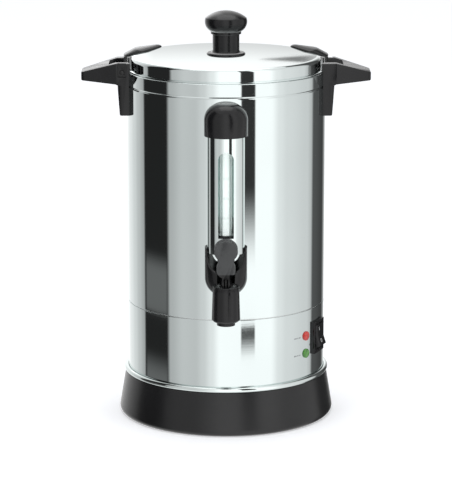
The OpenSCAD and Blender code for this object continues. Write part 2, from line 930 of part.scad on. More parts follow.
module gauge_cap() {
    color(BLACK)
        difference() {
            translate([0, 0, cap_z])
                domed_channel(cap_r, cap_h, cap_edge_r);
            difference() {
                translate([0, 0, cap_z - over])
                    domed_channel(cap_r - wall_t, cap_h - wall_t + over, cap_edge_r - wall_t);
                translate([0, gauge_axis_y, 0])
                    ring(glass_r + seal_w + wall_t, glass_r + seal_w, cap_z + wall_t, cap_shelf_h);
                block([-cap_r, cap_r], [-2 * body_r, 0], [cap_shelf_z, cap_shelf_z + wall_t]);
                translate([0, 0, cap_screw_z])
                    rotate([90, 0, 0])
                        cylinder(h = 2 * body_r, r = cap_boss_r);
            }
            body_cut(body_r, cap_z - over, cap_top_z + over);
            translate([0, 0, cap_screw_z])
                rotate([90, 0, 0])
                    cylinder(h = body_r + cap_screw_l, r = m4_r + snug);
        }
}

module gauge_cap_screw() {
    color(STEEL)
        translate([0, -body_in_r + air, cap_screw_z])
            rotate([90, 0, 0])
                screw(m4_r, cap_screw_l);
}

module gauge_glass() {
    color([0.85, 0.93, 0.92, 0.4])
        translate([0, gauge_axis_y, 0])
            ring(glass_r, glass_r - glass_t, socket_floor_z, cap_shelf_z - socket_floor_z);
}

module gauge_seal_top() {
    color(GREY)
        translate([0, gauge_axis_y, 0])
            ring(glass_r + seal_w, glass_r, cap_z + wall_t, cap_shelf_z - cap_z - 2 * wall_t);
}

module gauge_seal_bottom() {
    color(GREY)
        translate([0, gauge_axis_y, 0])
            ring(glass_r + seal_w, glass_r, socket_top_z, gland_h - wall_t);
}

module gauge_nut() {
    color(BLACK)
        translate([0, gauge_axis_y, socket_top_z])
            difference() {
                cylinder(h = gland_h, r = gland_r);
                translate([0, 0, -over])
                    cylinder(h = gland_h - wall_t + over, r = glass_r + seal_w);
                cylinder(h = gland_h + over, r = glass_r + snug);
            }
}

// Tap

module tap_cover() {
    notch_half = socket_r + air;
    scoop_r = 28;
    color(BLACK)
        difference() {
            translate([0, 0, tap_cover_top_z])
                mirror([0, 0, 1])
                    domed_channel(cover_half_w, cover_h, cover_edge_r);
            difference() {
                translate([0, 0, tap_cover_top_z + over])
                    mirror([0, 0, 1])
                        domed_channel(cover_half_w - wall_t, cover_h - wall_t + over,
                            cover_edge_r - wall_t);
                block([-cover_half_w, cover_half_w], [-shoulder_y, -cover_back_y],
                    [tap_cover_z, shank_z + 1.5 * shoulder_r]);
            }
            body_cut(body_r, tap_cover_z - over, tap_cover_top_z + over);
            translate([0, 0, shank_z])
                rotate([90, 0, 0])
                    cylinder(h = 2 * body_r, r = shank_r + snug);
            block([-notch_half, notch_half], [-2 * body_r, -shoulder_y - over],
                [shank_z - shank_r - air, tap_cover_top_z + over]);
            translate([-body_r / 2, guard_axis_y - guard_r - scoop_r / 2, tap_cover_top_z])
                rotate([0, 90, 0])
                    cylinder(h = body_r, r = scoop_r);
        }
}

module tap_body() {
    foot_edge = 2;
    color(BLACK)
        difference() {
            union() {
                translate([0, tap_y, tap_foot_z + foot_edge])
                    cylinder(h = tap_top_z - tap_foot_z - foot_edge, r1 = tap_r, r2 = tap_top_r);
                translate([0, tap_y, tap_foot_z])
                    cylinder(h = foot_edge, r1 = tap_r - foot_edge, r2 = tap_r);
                translate([0, tap_y, nozzle_z])
                    cylinder(h = tap_foot_z - nozzle_z + over, r = nozzle_r);
                translate([0, tap_y, shank_z])
                    rotate([-90, 0, 0])
                        cylinder(h = tap_reach - body_r + shank_l, r = shank_r);
                translate([0, -shoulder_y - shoulder_t, shank_z])
                    rotate([-90, 0, 0])
                        cylinder(h = shoulder_t, r = shoulder_r);
                intersection() {
                    translate([0, gauge_axis_y, shank_z])
                        cylinder(h = socket_top_z - shank_z, r = socket_r);
                    block([-2 * socket_r, 2 * socket_r], [-2 * body_r, -shoulder_y],
                        [shank_z - over, socket_top_z + over]);
                }
            }
            translate([0, tap_y, nozzle_z - over])
                cylinder(h = seat_z - nozzle_z + 2 * over, r = spout_bore_r);
            translate([0, tap_y, seat_z])
                cylinder(h = tap_top_z - seat_z + over, r = chamber_r);
            translate([0, tap_y, shank_z])
                rotate([-90, 0, 0])
                    cylinder(h = tap_reach, r = shank_bore_r);
            translate([0, gauge_axis_y, shank_z])
                cylinder(h = socket_top_z, r = shank_bore_r);
            translate([0, gauge_axis_y, socket_floor_z])
                cylinder(h = socket_top_z, r = glass_r + snug);
        }
}

module tap_bonnet() {
    knurl_d = 0.5;
    knurl_h = 0.8;
    color(BLACK)
        difference() {
            union() {
                translate([0, tap_y, tap_top_z])
                    cylinder(h = bonnet_h, r = tap_top_r);
                translate([0, tap_y, tap_top_z - plug_h])
                    cylinder(h = plug_h + over, r = chamber_r - snug);
            }
            translate([0, tap_y, tap_top_z - plug_h - over])
                cylinder(h = plug_h + bonnet_h + 2 * over, r = stem_r + 2 * snug);
            for (i = [1:2])
                translate([0, tap_y, 0])
                    ring(tap_top_r + over, tap_top_r - knurl_d, tap_top_z + i * bonnet_h / 3 - knurl_h / 2,
                        knurl_h);
        }
}

// The lever stands on the pin through the stem and leans forwards.
module tap_lever() {
    fork = stem_r + air;
    fork_h = 1.5 * fork;
    foot_half = neck_w / 2 + air;
    color(GREY)
        translate([0, tap_y, pin_z])
            difference() {
                union() {
                    block([-foot_half, foot_half], [-cam_r, cam_r], [bonnet_z - pin_z + air, cam_r]);
                    rotate([lever_lean, 0, 0]) {
                        block([-neck_w / 2, neck_w / 2], [-lever_t / 2, lever_t / 2],
                            [0, lower_lobe_h]);
                        rotate([90, 0, 0])
                            translate([0, 0, -lever_t / 2])
                                linear_extrude(lever_t) {
                                    translate([0, lower_lobe_h])
                                        circle(r = lower_lobe_r);
                                    translate([0, lobe_h])
                                        circle(r = lobe_r);
                                    translate([-waist_w / 2, lower_lobe_h])
                                        square([waist_w, lobe_h - lower_lobe_h]);
                                }
                    }
                }
                block([-fork, fork], [-2 * cam_r, 2 * cam_r], [-lower_lobe_r, fork_h]);
                translate([-neck_w, 0, 0])
                    rotate([0, 90, 0])
                        cylinder(h = 2 * neck_w, r = lever_pin_r + snug);
            }
}

module lever_pin() {
    color(STEEL)
        translate([-neck_w / 2, tap_y, pin_z])
            rotate([0, 90, 0])
                cylinder(h = neck_w, r = lever_pin_r);
}

module valve_stem() {
    button_r = 4;
    color(STEEL)
        difference() {
            translate([0, tap_y, 0]) {
                translate([0, 0, seat_z + snug + cup_h / 2])
                    cylinder(h = pin_z + stem_top_r - seat_z - snug - cup_h / 2, r = stem_r);
                translate([0, 0, seat_z + cup_h])
                    cylinder(h = button_h, r = button_r);
            }
            translate([-neck_w, tap_y, pin_z])
                rotate([0, 90, 0])
                    cylinder(h = 2 * neck_w, r = lever_pin_r);
        }
}

module valve_spring() {
    coil_in_r = 2.8;
    coil_out_r = 5.2;
    spring_z = seat_z + cup_h + button_h;
    color(STEEL)
        translate([0, tap_y, 0])
            ring(coil_out_r, coil_in_r, spring_z, tap_top_z - plug_h - spring_z);
}

module seat_cup() {
    color([0.85, 0.85, 0.82])
        translate([0, tap_y, seat_z + snug])
            difference() {
                cylinder(h = cup_h - snug, r1 = cup_r, r2 = cup_r - over);
                translate([0, 0, cup_h / 2])
                    cylinder(h = cup_h, r = stem_r);
            }
}

module shank_nut() {
    nut_t = 6;
    nut_r = 1.8 * shank_r;
    color(STEEL)
        translate([0, -(body_in_r - seal_t - nut_t), shank_z])
            rotate([90, 0, 0])
                difference() {
                    cylinder(h = nut_t, r = nut_r, $fn = 6);
                    translate([0, 0, -over])
                        cylinder(h = nut_t + 2 * over, r = shank_r + snug);
                }
}

module shank_seals() {
    seal_r = shoulder_r;
    color(GREY) {
        difference() {
            translate([0, -body_r + over, shank_z])
                rotate([90, 0, 0])
                    ring(seal_r, shank_r + snug, -over, over + over + seal_t);
            body_cut(body_r, shank_z - 2 * seal_r, shank_z + 2 * seal_r);
            block([-2 * seal_r, 2 * seal_r], [-2 * body_r, -cover_back_y],
                [shank_z - 2 * seal_r, shank_z + 2 * seal_r]);
        }
        intersection() {
            translate([0, -body_in_r + seal_t, shank_z])
                rotate([90, 0, 0])
                    ring(seal_r, shank_r + snug, 0, seal_t + over);
            body_cut(body_in_r, shank_z - 2 * seal_r, shank_z + 2 * seal_r);
        }
    }
}

// Lights and switch

module light(z, tint) {
    color(tint)
        on_casing(lights_az, z)
            rotate([90, 0, 0]) {
                cylinder(h = lens_h / 2, r = lens_r);
                translate([0, 0, lens_h / 2])
                    cylinder(h = lens_h / 2, r1 = lens_r, r2 = lens_r - lens_h / 2);
                translate([0, 0, -light_stem_h])
                    cylinder(h = light_stem_h + lens_h / 2, r = light_stem_r);
            }
}

module red_light() { light(red_z, [0.75, 0.12, 0.12]); }
module green_light() { light(green_z, [0.2, 0.55, 0.15]); }

module light_clips() {
    color(STEEL)
        for (z = [red_z, green_z])
            on_casing(lights_az, z)
                rotate([90, 0, 0])
                    ring(lens_r + clip_t, light_stem_r, -sheet_t - air - clip_t, clip_t);
}

module switch_housing() {
    wall = bezel_lip / 2;
    half_w = bezel_w / 2;
    half_h = bezel_h / 2;
    back = rocker_axis + rocker_valley + air;
    color(BLACK)
        on_casing(switch_az, switch_z)
            difference() {
                union() {
                    difference() {
                        block([-half_w, half_w], [-bezel_t, rocker_axis], [-half_h, half_h]);
                        translate([0, body_r, 0])
                            body_cut(body_r, -bezel_h, bezel_h);
                    }
                    block([-half_w + wall, half_w - wall], [-bezel_t / 2, switch_depth],
                        [-half_h + wall, half_h - wall]);
                    for (z = [-half_h / 2, 0, half_h / 2])
                        block([-tag_w / 2, tag_w / 2], [switch_depth - over, switch_depth + tag_l],
                            [z - tag_t / 2, z + tag_t / 2]);
                }
                block([-rocker_w / 2 - air, rocker_w / 2 + air], [-bezel_t - over, back],
                    [-rocker_r - air, rocker_r + air]);
                translate([-rocker_w / 2 - over, rocker_axis, 0])
                    rotate([0, 90, 0])
                        cylinder(h = rocker_w + 2 * over, r = pin_r + snug);
            }
}

module switch_rocker() {
    end_share = 0.84;
    back_share = 0.42;
    color(BLACK)
        on_casing(switch_az, switch_z)
            translate([0, rocker_axis, 0])
                rotate([-rocker_tilt, 0, 0])
                    rotate([0, 90, 0]) {
                        translate([0, 0, -rocker_w / 2])
                            linear_extrude(rocker_w)
                                polygon([[0, -rocker_valley], [rocker_r * end_share, -rocker_peak],
                                    [rocker_r * 0.9, 0], [rocker_r * back_share, rocker_valley / 2],
                                    [-rocker_r * back_share, rocker_valley / 2],
                                    [-rocker_r * 0.9, 0], [-rocker_r * end_share, -rocker_peak]]);
                        translate([0, 0, -rocker_w / 2 - over + snug])
                            cylinder(h = rocker_w + 2 * over - 2 * snug, r = pin_r);
                    }
}

// Heating

module heating_element() {
    color(GREY) {
        rotate_extrude()
            translate([element_ring_r, element_z])
                circle(r = element_r);
        for (turn = element_leg_turns)
            rotate([0, 0, turn])
                translate([element_ring_r, 0, element_z - element_leg_h])
                    cylinder(h = element_leg_h, r = element_r / 2);
    }
}

module heater_plate() {
    color([0.75, 0.76, 0.78])
        difference() {
            ring(plate_r, plate_in_r, plate_z, plate_t);
            around(stud_count, stud_ring_r, stud_turn)
                translate([0, 0, plate_z - over])
                    cylinder(h = plate_t + 2 * over, r = m4_r + snug);
        }
}

module heater_nuts() {
    color(STEEL)
        around(stud_count, stud_ring_r, stud_turn)
            translate([0, 0, plate_z - nut_h])
                nut(m4_r, nut_h);
}

module thermostat() {
    flange_t = 1.5;
    color(GREY)
        rotate([0, 0, 90])
            translate([stud_ring_r, 0, plate_z - stat_h]) {
                cylinder(h = stat_h, r = stat_r);
                translate([0, 0, stat_h - flange_t])
                    cylinder(h = flange_t, r = stat_r + flange_t);
                for (side = [-1, 1])
                    translate([0, side * stat_r / 2, 0])
                        block([-tag_w / 2, tag_w / 2], [-tag_t / 2, tag_t / 2], [-tag_l, over]);
            }
}

module thermal_fuse() {
    color([0.8, 0.78, 0.7])
        rotate([0, 0, fuse_turn])
            translate([stud_ring_r, -fuse_l / 2, plate_z - strap_t - fuse_r]) {
                rotate([-90, 0, 0])
                    cylinder(h = fuse_l, r = fuse_r);
                translate([0, fuse_l / 4, 0])
                    rotate([-90, 0, 0])
                        ring(fuse_r + strap_t, fuse_r, 0, fuse_l / 2);
            }
}

module terminal_block() {
    pitch = block_w / block_ways;
    color([0.9, 0.88, 0.82])
        translate([0, -lead_ring(), rim_h])
            difference() {
                block([-block_w / 2, block_w / 2], [-block_d / 2, block_d / 2], [0, block_h]);
                for (i = [0:block_ways - 1])
                    translate([(i - 1) * pitch, 0, block_h / 2])
                        cylinder(h = block_h, r = 2 * lead_r);
            }
}

// Radius at which the leads run round inside the casing.
function lead_ring() = body_r - inlet_depth - tag_l / 2;

// A lead that drops to the level z, runs round the casing from turn a0 to a1 and rises again.
module lead_round(a0, z0, a1, z1, z) {
    r = lead_ring();
    rotate([0, 0, a0]) {
        rotate_extrude(angle = a1 - a0)
            translate([r, z])
                circle(r = lead_r, $fn = lead_sides);
        rod([r, 0, z], [r, 0, z0], lead_r);
        bend([r, 0, z]);
    }
    rotate([0, 0, a1]) {
        rod([r, 0, z], [r, 0, z1], lead_r);
        bend([r, 0, z]);
    }
}

module wiring() {
    r = lead_ring();
    level = skirt_h + 2 * bead_r;
    step = 3 * lead_r;
    stub = tag_w;
    switch_turn = switch_az - 90;
    inlet_turn = asin(blade_pitch / r);
    way_turn = asin(block_w / block_ways / r);
    top = rim_h + block_h / 2;
    blade_z = inlet_z - blade_rise - blade_h / 2;
    fuse_x = stud_ring_r * cos(fuse_turn);
    fuse_y = stud_ring_r * sin(fuse_turn);
    fuse_z = plate_z - 2 * (strap_t + fuse_r);
    leg_x = element_ring_r * cos(element_leg_turns[1]);
    leg_y = element_ring_r * sin(element_leg_turns[1]);
    leg_end_z = element_z - element_leg_h - lead_r;
    color([0.25, 0.35, 0.6]) {
        // from the inlet to the switch
        lead_round(switch_turn, switch_z - bezel_h / 4 - tag_t / 2, 90 - inlet_turn, blade_z, level);
        // from the switch to the terminal block
        lead_round(way_turn - 90, top, switch_turn + asin(stub / r), switch_z, level + step);
        on_casing(switch_az, switch_z)
            rod([tag_w / 2, body_r - r, 0], [stub, body_r - r, 0], lead_r);
        // from the inlet's other blade to the block
        lead_round(90 + inlet_turn, blade_z, 270 - way_turn, top, level);
        // from the block to the fuse
        lead([[0, -r, top], [0, -r, fuse_z - step], [fuse_x, fuse_y, fuse_z - step],
            [fuse_x, fuse_y, fuse_z]], lead_r);
        // from the thermostat to the element
        lead([[0, stud_ring_r - stat_r / 2, plate_z - stat_h - tag_l],
            [leg_x, element_ring_r, leg_end_z], [leg_x, leg_y, leg_end_z]], lead_r);
    }
}

// Appliance inlet

module power_inlet() {
    color(BLACK)
        difference() {
            union() {
                difference() {
                    block([-inlet_w / 2, inlet_w / 2], [body_r - ledge_w, inlet_y],
                        [inlet_z - inlet_h / 2, inlet_z + inlet_h / 2]);
                    body_cut(body_r, inlet_z - inlet_h, inlet_z + inlet_h);
                }
                block([-inlet_body_w / 2, inlet_body_w / 2], [body_r - inlet_depth, inlet_y - over],
                    [inlet_z - inlet_body_h / 2, inlet_z + inlet_body_h / 2]);
            }
            block([-socket_w / 2, socket_w / 2], [inlet_y - socket_depth, inlet_y + over],
                [inlet_z - socket_h / 2, inlet_z + socket_h / 2]);
            for (x = [-inlet_screw_x, inlet_screw_x])
                translate([x, inlet_y + over, inlet_z])
                    rotate([90, 0, 0])
                        cylinder(h = ledge_w + over, r = m3_r + snug);
            inlet_blades(snug);
        }
}

module inlet_blades(grow) {
    for (i = [-1:1]) {
        z = inlet_z + (i == 0 ? blade_rise : -blade_rise);
        block([i * blade_pitch - blade_w / 2 - grow, i * blade_pitch + blade_w / 2 + grow],
            [body_r - inlet_depth - tag_l, inlet_y - socket_depth + blade_l],
            [z - blade_h / 2 - grow, z + blade_h / 2 + grow]);
    }
}

module inlet_pins() {
    color([0.85, 0.75, 0.45])
        inlet_blades(0);
}

module inlet_screws() {
    color(STEEL)
        for (x = [-inlet_screw_x, inlet_screw_x])
            translate([x, inlet_y, inlet_z])
                rotate([90, 0, 0])
                    screw(m3_r, ledge_w - over);
}

// Percolator

module pump_tube() {
    stop_w = 3.5;
    stop_r = tube_r + stop_w;
    color(STEEL) {
        ring(tube_r, tube_r - tube_t, well_z + foot_h - tube_t, tube_top_z - well_z - foot_h + tube_t);
        ring(stop_r, tube_r - tube_t / 2, basket_z - collar_t, collar_t);
    }
}

module pump_foot() {
    foot_t = sheet_t;
    rim = 3;
    hole_r = 2.5;
    color(STEEL)
        difference() {
            rotate_extrude()
                polygon([[foot_skirt_r - foot_t, well_z], [foot_skirt_r, well_z],
                    [foot_skirt_r, well_z + rim], [tube_r + foot_t, well_z + foot_h - rim],
                    [tube_r + foot_t, well_z + foot_h], [tube_r, well_z + foot_h],
                    [tube_r, well_z + foot_h - rim - foot_t],
                    [foot_skirt_r - foot_t, well_z + rim - foot_t]]);
            around(4, foot_skirt_r - hole_r - foot_t)
                translate([0, 0, well_z + rim])
                    cylinder(h = foot_h, r = hole_r);
        }
}

module perforations(z, t) {
    for (i = [1:perforation_rings])
        around(6 * i, i * perforation_pitch + perforation_r)
            translate([0, 0, z - over])
                cylinder(h = t + 2 * over, r = perforation_r, $fn = 16);
}

module coffee_basket() {
    hub_r = tube_r + drop_in;
    hub_h = 12;
    bead = 1.2;
    color(STEEL)
        difference() {
            rotate_extrude() {
                polygon([[hub_r, basket_z], [basket_floor_r, basket_z],
                    [basket_r, basket_z + basket_h], [basket_r - sheet_t, basket_z + basket_h],
                    [basket_floor_r - sheet_t, basket_z + sheet_t], [hub_r + sheet_t, basket_z + sheet_t],
                    [hub_r + sheet_t, basket_z + hub_h], [hub_r, basket_z + hub_h]]);
                translate([basket_r, basket_z + basket_h - bead])
                    circle(r = bead);
            }
            perforations(basket_z, sheet_t);
        }
}

module basket_spreader() {
    top_z = basket_z + basket_h;
    rim_r = basket_r - sheet_t - drop_in;
    hub_r = tube_r + drop_in;
    color(STEEL)
        difference() {
            rotate_extrude()
                polygon([[hub_r, top_z - spreader_lip], [rim_r - 2 * sheet_t, top_z - spreader_lip],
                    [rim_r - spreader_t - sheet_t, top_z], [basket_r, top_z],
                    [basket_r, top_z + spreader_t], [rim_r - 2 * sheet_t, top_z + spreader_t],
                    [rim_r - 2 * sheet_t - spreader_t, top_z - spreader_lip + spreader_t],
                    [hub_r, top_z - spreader_lip + spreader_t]]);
            perforations(top_z - spreader_lip, spreader_t);
        }
}

tank_shell();
tank_bottom();
lower_casing();
base_skirt();
trim_ring();
bottom_cover();
rubber_feet();
bottom_screws();
lid_shell();
lid_knob();
knob_screw();
knob_washer();
handle_right();
handle_left();
handle_screws_right();
handle_screws_left();
latch_right();
latch_left();
latch_pin_right();
latch_pin_left();
gauge_guard();
gauge_cap();
gauge_cap_screw();
gauge_glass();
gauge_seal_top();
gauge_seal_bottom();
gauge_nut();
tap_cover();
tap_body();
tap_bonnet();
tap_lever();
lever_pin();
valve_stem();
valve_spring();
seat_cup();
shank_nut();
shank_seals();
switch_housing();
switch_rocker();
red_light();
green_light();
light_clips();
heating_element();
heater_plate();
heater_nuts();
thermostat();
thermal_fuse();
terminal_block();
wiring();
power_inlet();
inlet_pins();
inlet_screws();
pump_tube();
pump_foot();
coffee_basket();
basket_spreader();
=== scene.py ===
import json
import math

import bmesh
import bpy
from mathutils import Matrix, Vector


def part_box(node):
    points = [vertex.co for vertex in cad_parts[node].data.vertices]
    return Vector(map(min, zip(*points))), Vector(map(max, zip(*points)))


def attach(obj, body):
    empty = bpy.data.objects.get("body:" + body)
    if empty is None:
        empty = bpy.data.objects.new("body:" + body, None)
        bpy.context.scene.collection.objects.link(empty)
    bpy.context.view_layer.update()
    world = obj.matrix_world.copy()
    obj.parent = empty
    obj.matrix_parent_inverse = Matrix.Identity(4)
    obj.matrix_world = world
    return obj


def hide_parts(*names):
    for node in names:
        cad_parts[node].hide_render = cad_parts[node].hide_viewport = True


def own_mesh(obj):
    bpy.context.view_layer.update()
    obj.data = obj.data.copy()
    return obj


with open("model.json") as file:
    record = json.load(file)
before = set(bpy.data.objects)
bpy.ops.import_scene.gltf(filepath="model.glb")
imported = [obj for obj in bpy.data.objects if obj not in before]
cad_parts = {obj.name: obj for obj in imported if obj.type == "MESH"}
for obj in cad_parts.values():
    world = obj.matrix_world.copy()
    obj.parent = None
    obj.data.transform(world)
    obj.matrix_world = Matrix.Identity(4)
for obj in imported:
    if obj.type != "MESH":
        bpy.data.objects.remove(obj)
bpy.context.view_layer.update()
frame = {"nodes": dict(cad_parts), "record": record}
nodes = frame["nodes"]
bodies = frame["record"]["behaviour"]["bodies"]
bodyOf = {name: body for body, names in bodies.items() for name in names}
mm = 0.001
print("frame loaded:", len(nodes), "nodes")


# shader graphs

class Wire:
    # one output socket of a shader node; sums and products of wires add Math nodes
    def __init__(self, paint, socket):
        self.paint = paint
        self.socket = socket

    def math(self, operation, *others):
        return self.paint.make("ShaderNodeMath", {"operation": operation}, [self, *others])

    def __add__(self, other):
        return self.math("ADD", other)

    def __radd__(self, other):
        return self.math("ADD", other)

    def __sub__(self, other):
        return self.math("SUBTRACT", other)

    def __rsub__(self, other):
        return self.paint.make("ShaderNodeMath", {"operation": "SUBTRACT"}, [other, self])

    def __mul__(self, other):
        return self.math("MULTIPLY", other)

    def __rmul__(self, other):
        return self.math("MULTIPLY", other)

    def __truediv__(self, other):
        return self.math("DIVIDE", other)

    def __gt__(self, other):
        return self.math("GREATER_THAN", other)

    def __lt__(self, other):
        return self.math("LESS_THAN", other)

    def ramp(self, low, high):
        # 0 below low, 1 above high, smooth between
        return self.paint.make("ShaderNodeMapRange", {"interpolation_type": "SMOOTHSTEP"},
                               {"Value": self, "From Min": low, "From Max": high}, "Result")


class Paint:
    # the node tree of a material or of the world
    def __init__(self, owner):
        owner.use_nodes = True
        self.tree = owner.node_tree
        self.tree.nodes.clear()

    def make(self, kind, settings=None, sockets=None, output=0):
        node = self.tree.nodes.new(kind)
        for key, value in (settings or {}).items():
            setattr(node, key, value)
        pairs = enumerate(sockets) if isinstance(sockets, list) else (sockets or {}).items()
        for key, value in pairs:
            if isinstance(value, Wire):
                self.tree.links.new(value.socket, node.inputs[key])
            else:
                node.inputs[key].default_value = value
        return Wire(self, node.outputs[output]) if len(node.outputs) else None

    def place(self):
        return self.make("ShaderNodeTexCoord", output="Object")

    def axes(self):
        parts = self.make("ShaderNodeSeparateXYZ", {}, [self.place()])
        node = parts.socket.node
        return [Wire(self, node.outputs[i]) for i in range(3)]

    def turn(self):
        # turn round the urn's axis, in radians, with no step on the tap's side
        x, y, z = self.axes()
        return x.math("ARCTAN2", y * -1)

    def noise(self, scale, detail=2.0, rough=0.5, at=None):
        return self.make("ShaderNodeTexNoise", {}, {"Vector": at or self.place(), "Scale": scale,
                                                    "Detail": detail, "Roughness": rough}, "Fac")

    def stretched(self, x, y, z):
        return self.make("ShaderNodeMapping", {}, {"Vector": self.place(), "Scale": (x, y, z)})

    def mix(self, fac, a, b):
        return self.make("ShaderNodeMix", {"data_type": "RGBA"}, {0: fac, 6: a, 7: b}, 2)

    def bump(self, height, depth, strength=1.0):
        return self.make("ShaderNodeBump", {}, {"Height": height, "Distance": depth, "Strength": strength})

    def rays(self, *kinds):
        # 1 for rays of any of these kinds
        path = self.make("ShaderNodeLightPath").socket.node
        seen = Wire(self, path.outputs[kinds[0]])
        for kind in kinds[1:]:
            seen = seen + Wire(self, path.outputs[kind])
        return seen

    def surface(self, shader):
        self.make("ShaderNodeOutputMaterial", {}, {"Surface": shader})

    def principled(self, **sockets):
        named = {key.replace("_", " "): value for key, value in sockets.items()}
        self.surface(self.make("ShaderNodeBsdfPrincipled", {}, named))


def grey(value):
    return (value, value, value, 1)


def newMaterial(name):
    material = bpy.data.materials.new(name)
    return material, Paint(material)


# finishes; a noise swings about its mean, and its patches run from their low edge to their high one

mean = 0.5
cloudPatch = (0.35, 0.7)
wipePatch = (0.3, 0.75)
speckPatch = (0.3, 0.7)


def polishedSheet(name, steel):
    # steel sheet polished round the urn: faint hairlines run round it, and the grain blurs what it mirrors
    material, paint = newMaterial(name)
    x, y, z = paint.axes()
    hair = paint.noise(1.0, detail=3.0, rough=0.6,
                       at=paint.stretched(steel["along"], steel["along"], steel["across"]))
    cloud = paint.noise(steel["cloudScale"])
    smear = paint.noise(steel["smearScale"], detail=3.0, rough=0.55)
    rough = steel["rough"] + (hair - mean) * steel["roughHair"] + (smear - mean) * steel["roughSmear"]
    if "topZ" in steel:
        # the top is buffed apart from the side
        rough = rough + z.ramp(steel["topZ"] - steel["topFade"], steel["topZ"]) * steel["topRough"]
    colour = paint.mix(cloud.ramp(*cloudPatch), steel["light"], steel["dark"])
    paint.principled(Base_Color=colour, Metallic=1.0, Roughness=rough,
                     Normal=paint.bump(hair, steel["hairDepth"], steel["hairStrength"]))
    return material


def mouldedPlastic(name, plastic):
    # moulding with a fine spark-eroded grain and faint wipes of grease
    material, paint = newMaterial(name)
    grain = paint.noise(plastic["grainScale"], rough=0.6)
    wipe = paint.noise(plastic["wipeScale"], detail=3.0, rough=0.6)
    rough = plastic["rough"] + (wipe - mean) * plastic["roughWipe"] + (grain - mean) * plastic["roughGrain"]
    colour = paint.mix(wipe.ramp(*wipePatch), plastic["deep"], plastic["worn"])
    paint.principled(Base_Color=colour, Roughness=rough, Specular_IOR_Level=plastic["gloss"],
                     Normal=paint.bump(grain, plastic["grainDepth"], plastic["grainStrength"]))
    return material


def turnedSteel(name, metal):
    # plain steel hardware with machining marks
    material, paint = newMaterial(name)
    marks = paint.noise(metal["markScale"], detail=3.0, rough=0.7)
    stain = paint.noise(metal["stainScale"])
    colour = paint.mix(stain.ramp(*cloudPatch), metal["light"], metal["dark"])
    paint.principled(Base_Color=colour, Metallic=1.0,
                     Roughness=metal["rough"] + (marks - mean) * metal["roughMarks"],
                     Normal=paint.bump(marks, metal["markDepth"], metal["markStrength"]))
    return material


def softRubber(name, rubber):
    material, paint = newMaterial(name)
    grain = paint.noise(rubber["grainScale"], detail=3.0, rough=0.6)
    paint.principled(Base_Color=paint.mix(grain, rubber["deep"], rubber["dusty"]),
                     Roughness=rubber["rough"] + (grain - mean) * rubber["roughGrain"],
                     Normal=paint.bump(grain, rubber["grainDepth"], rubber["grainStrength"]))
    return material


def lampLens(name, lens):
    # clear coloured cap with its lamp glowing faintly behind it
    material, paint = newMaterial(name)
    speck = paint.noise(lens["speckScale"])
    paint.principled(Base_Color=paint.mix(speck.ramp(*speckPatch), lens["deep"], lens["bright"]),
                     Roughness=lens["rough"] + speck * lens["roughSpeck"],
                     Coat_Weight=lens["coat"], Coat_Roughness=lens["coatRough"],
                     Emission_Color=lens["glow"], Emission_Strength=lens["glowStrength"])
    return material


def tubeGlass(name, glass):
    # thin clear glass with a film left by the water; a faintly glowing white strip on the back of the tube is
    # a painted highlight, standing in for the bright reflection down the glass's middle, and the level marks
    # are printed on it
    material, paint = newMaterial(name)
    x, y, z = paint.axes()
    film = paint.noise(glass["filmScale"], detail=3.0, rough=0.6)
    body = paint.make("ShaderNodeBsdfPrincipled", {}, {
        "Base Color": paint.mix(film, glass["clear"], glass["film"]),
        "Roughness": glass["rough"] + film * glass["roughFilm"]})
    clear = paint.make("ShaderNodeBsdfTransparent", {}, {"Color": glass["through"]})
    edge = paint.make("ShaderNodeLayerWeight", {}, {"Blend": glass["edgeBlend"]}, "Facing")
    wall = paint.make("ShaderNodeMixShader", {}, [edge * glass["edge"] + glass["face"], clear, body])
    level = (z - glass["markLow"]).math("PINGPONG", glass["markStep"] / 2)
    mark = 1 - level.ramp(glass["markHalf"], glass["markHalf"] * glass["markFade"])
    mark = mark * (z > glass["markLow"] - glass["markPast"]) * (z < glass["markHigh"] + glass["markPast"])
    stripHighlight = paint.mix(film, glass["strip"], glass["stripWorn"])
    # the strip's white and its faint glow are a painted highlight down the glass's middle
    white = paint.make("ShaderNodeBsdfPrincipled", {}, {
        "Base Color": paint.mix(mark * glass["markStrength"], stripHighlight, glass["mark"]),
        "Roughness": glass["stripRough"] + film * glass["stripFilm"],
        "Emission Color": (1, 1, 1, 1), "Emission Strength": glass["stripHighlightGlow"]})
    across = x.math("ABSOLUTE").ramp(glass["stripHalf"] - glass["stripFade"], glass["stripHalf"])
    strip = (y > glass["axis"]) * (1 - across)
    paint.surface(paint.make("ShaderNodeMixShader", {}, [strip, wall, white]))
    return material


def leverPlastic(name, plastic):
    # grey paddle; its neck, which the lower lobe shades, is coloured near-black as painted shade
    material, paint = newMaterial(name)
    x, y, z = paint.axes()
    grain = paint.noise(plastic["grainScale"], rough=0.6)
    wipe = paint.noise(plastic["wipeScale"], detail=3.0, rough=0.6)
    lean = plastic["lean"]
    along = (z - plastic["pinZ"]) * math.cos(lean) + (y - plastic["pinY"]) * -math.sin(lean)
    # the near-black neck colour below this height is painted shade under the paddle's lower lobe
    top = along.ramp(plastic["shadedNeckTop"] - plastic["shadedNeckFade"], plastic["shadedNeckTop"] + plastic["shadedNeckFade"])
    paddle = paint.mix(wipe.ramp(*wipePatch), plastic["deep"], plastic["worn"])
    rough = plastic["rough"] + (wipe - mean) * plastic["roughWipe"] + (grain - mean) * plastic["roughGrain"]
    paint.principled(Base_Color=paint.mix(top, plastic["neck"], paddle), Roughness=rough,
                     Specular_IOR_Level=plastic["gloss"],
                     Normal=paint.bump(grain, plastic["grainDepth"], plastic["grainStrength"]))
    return material


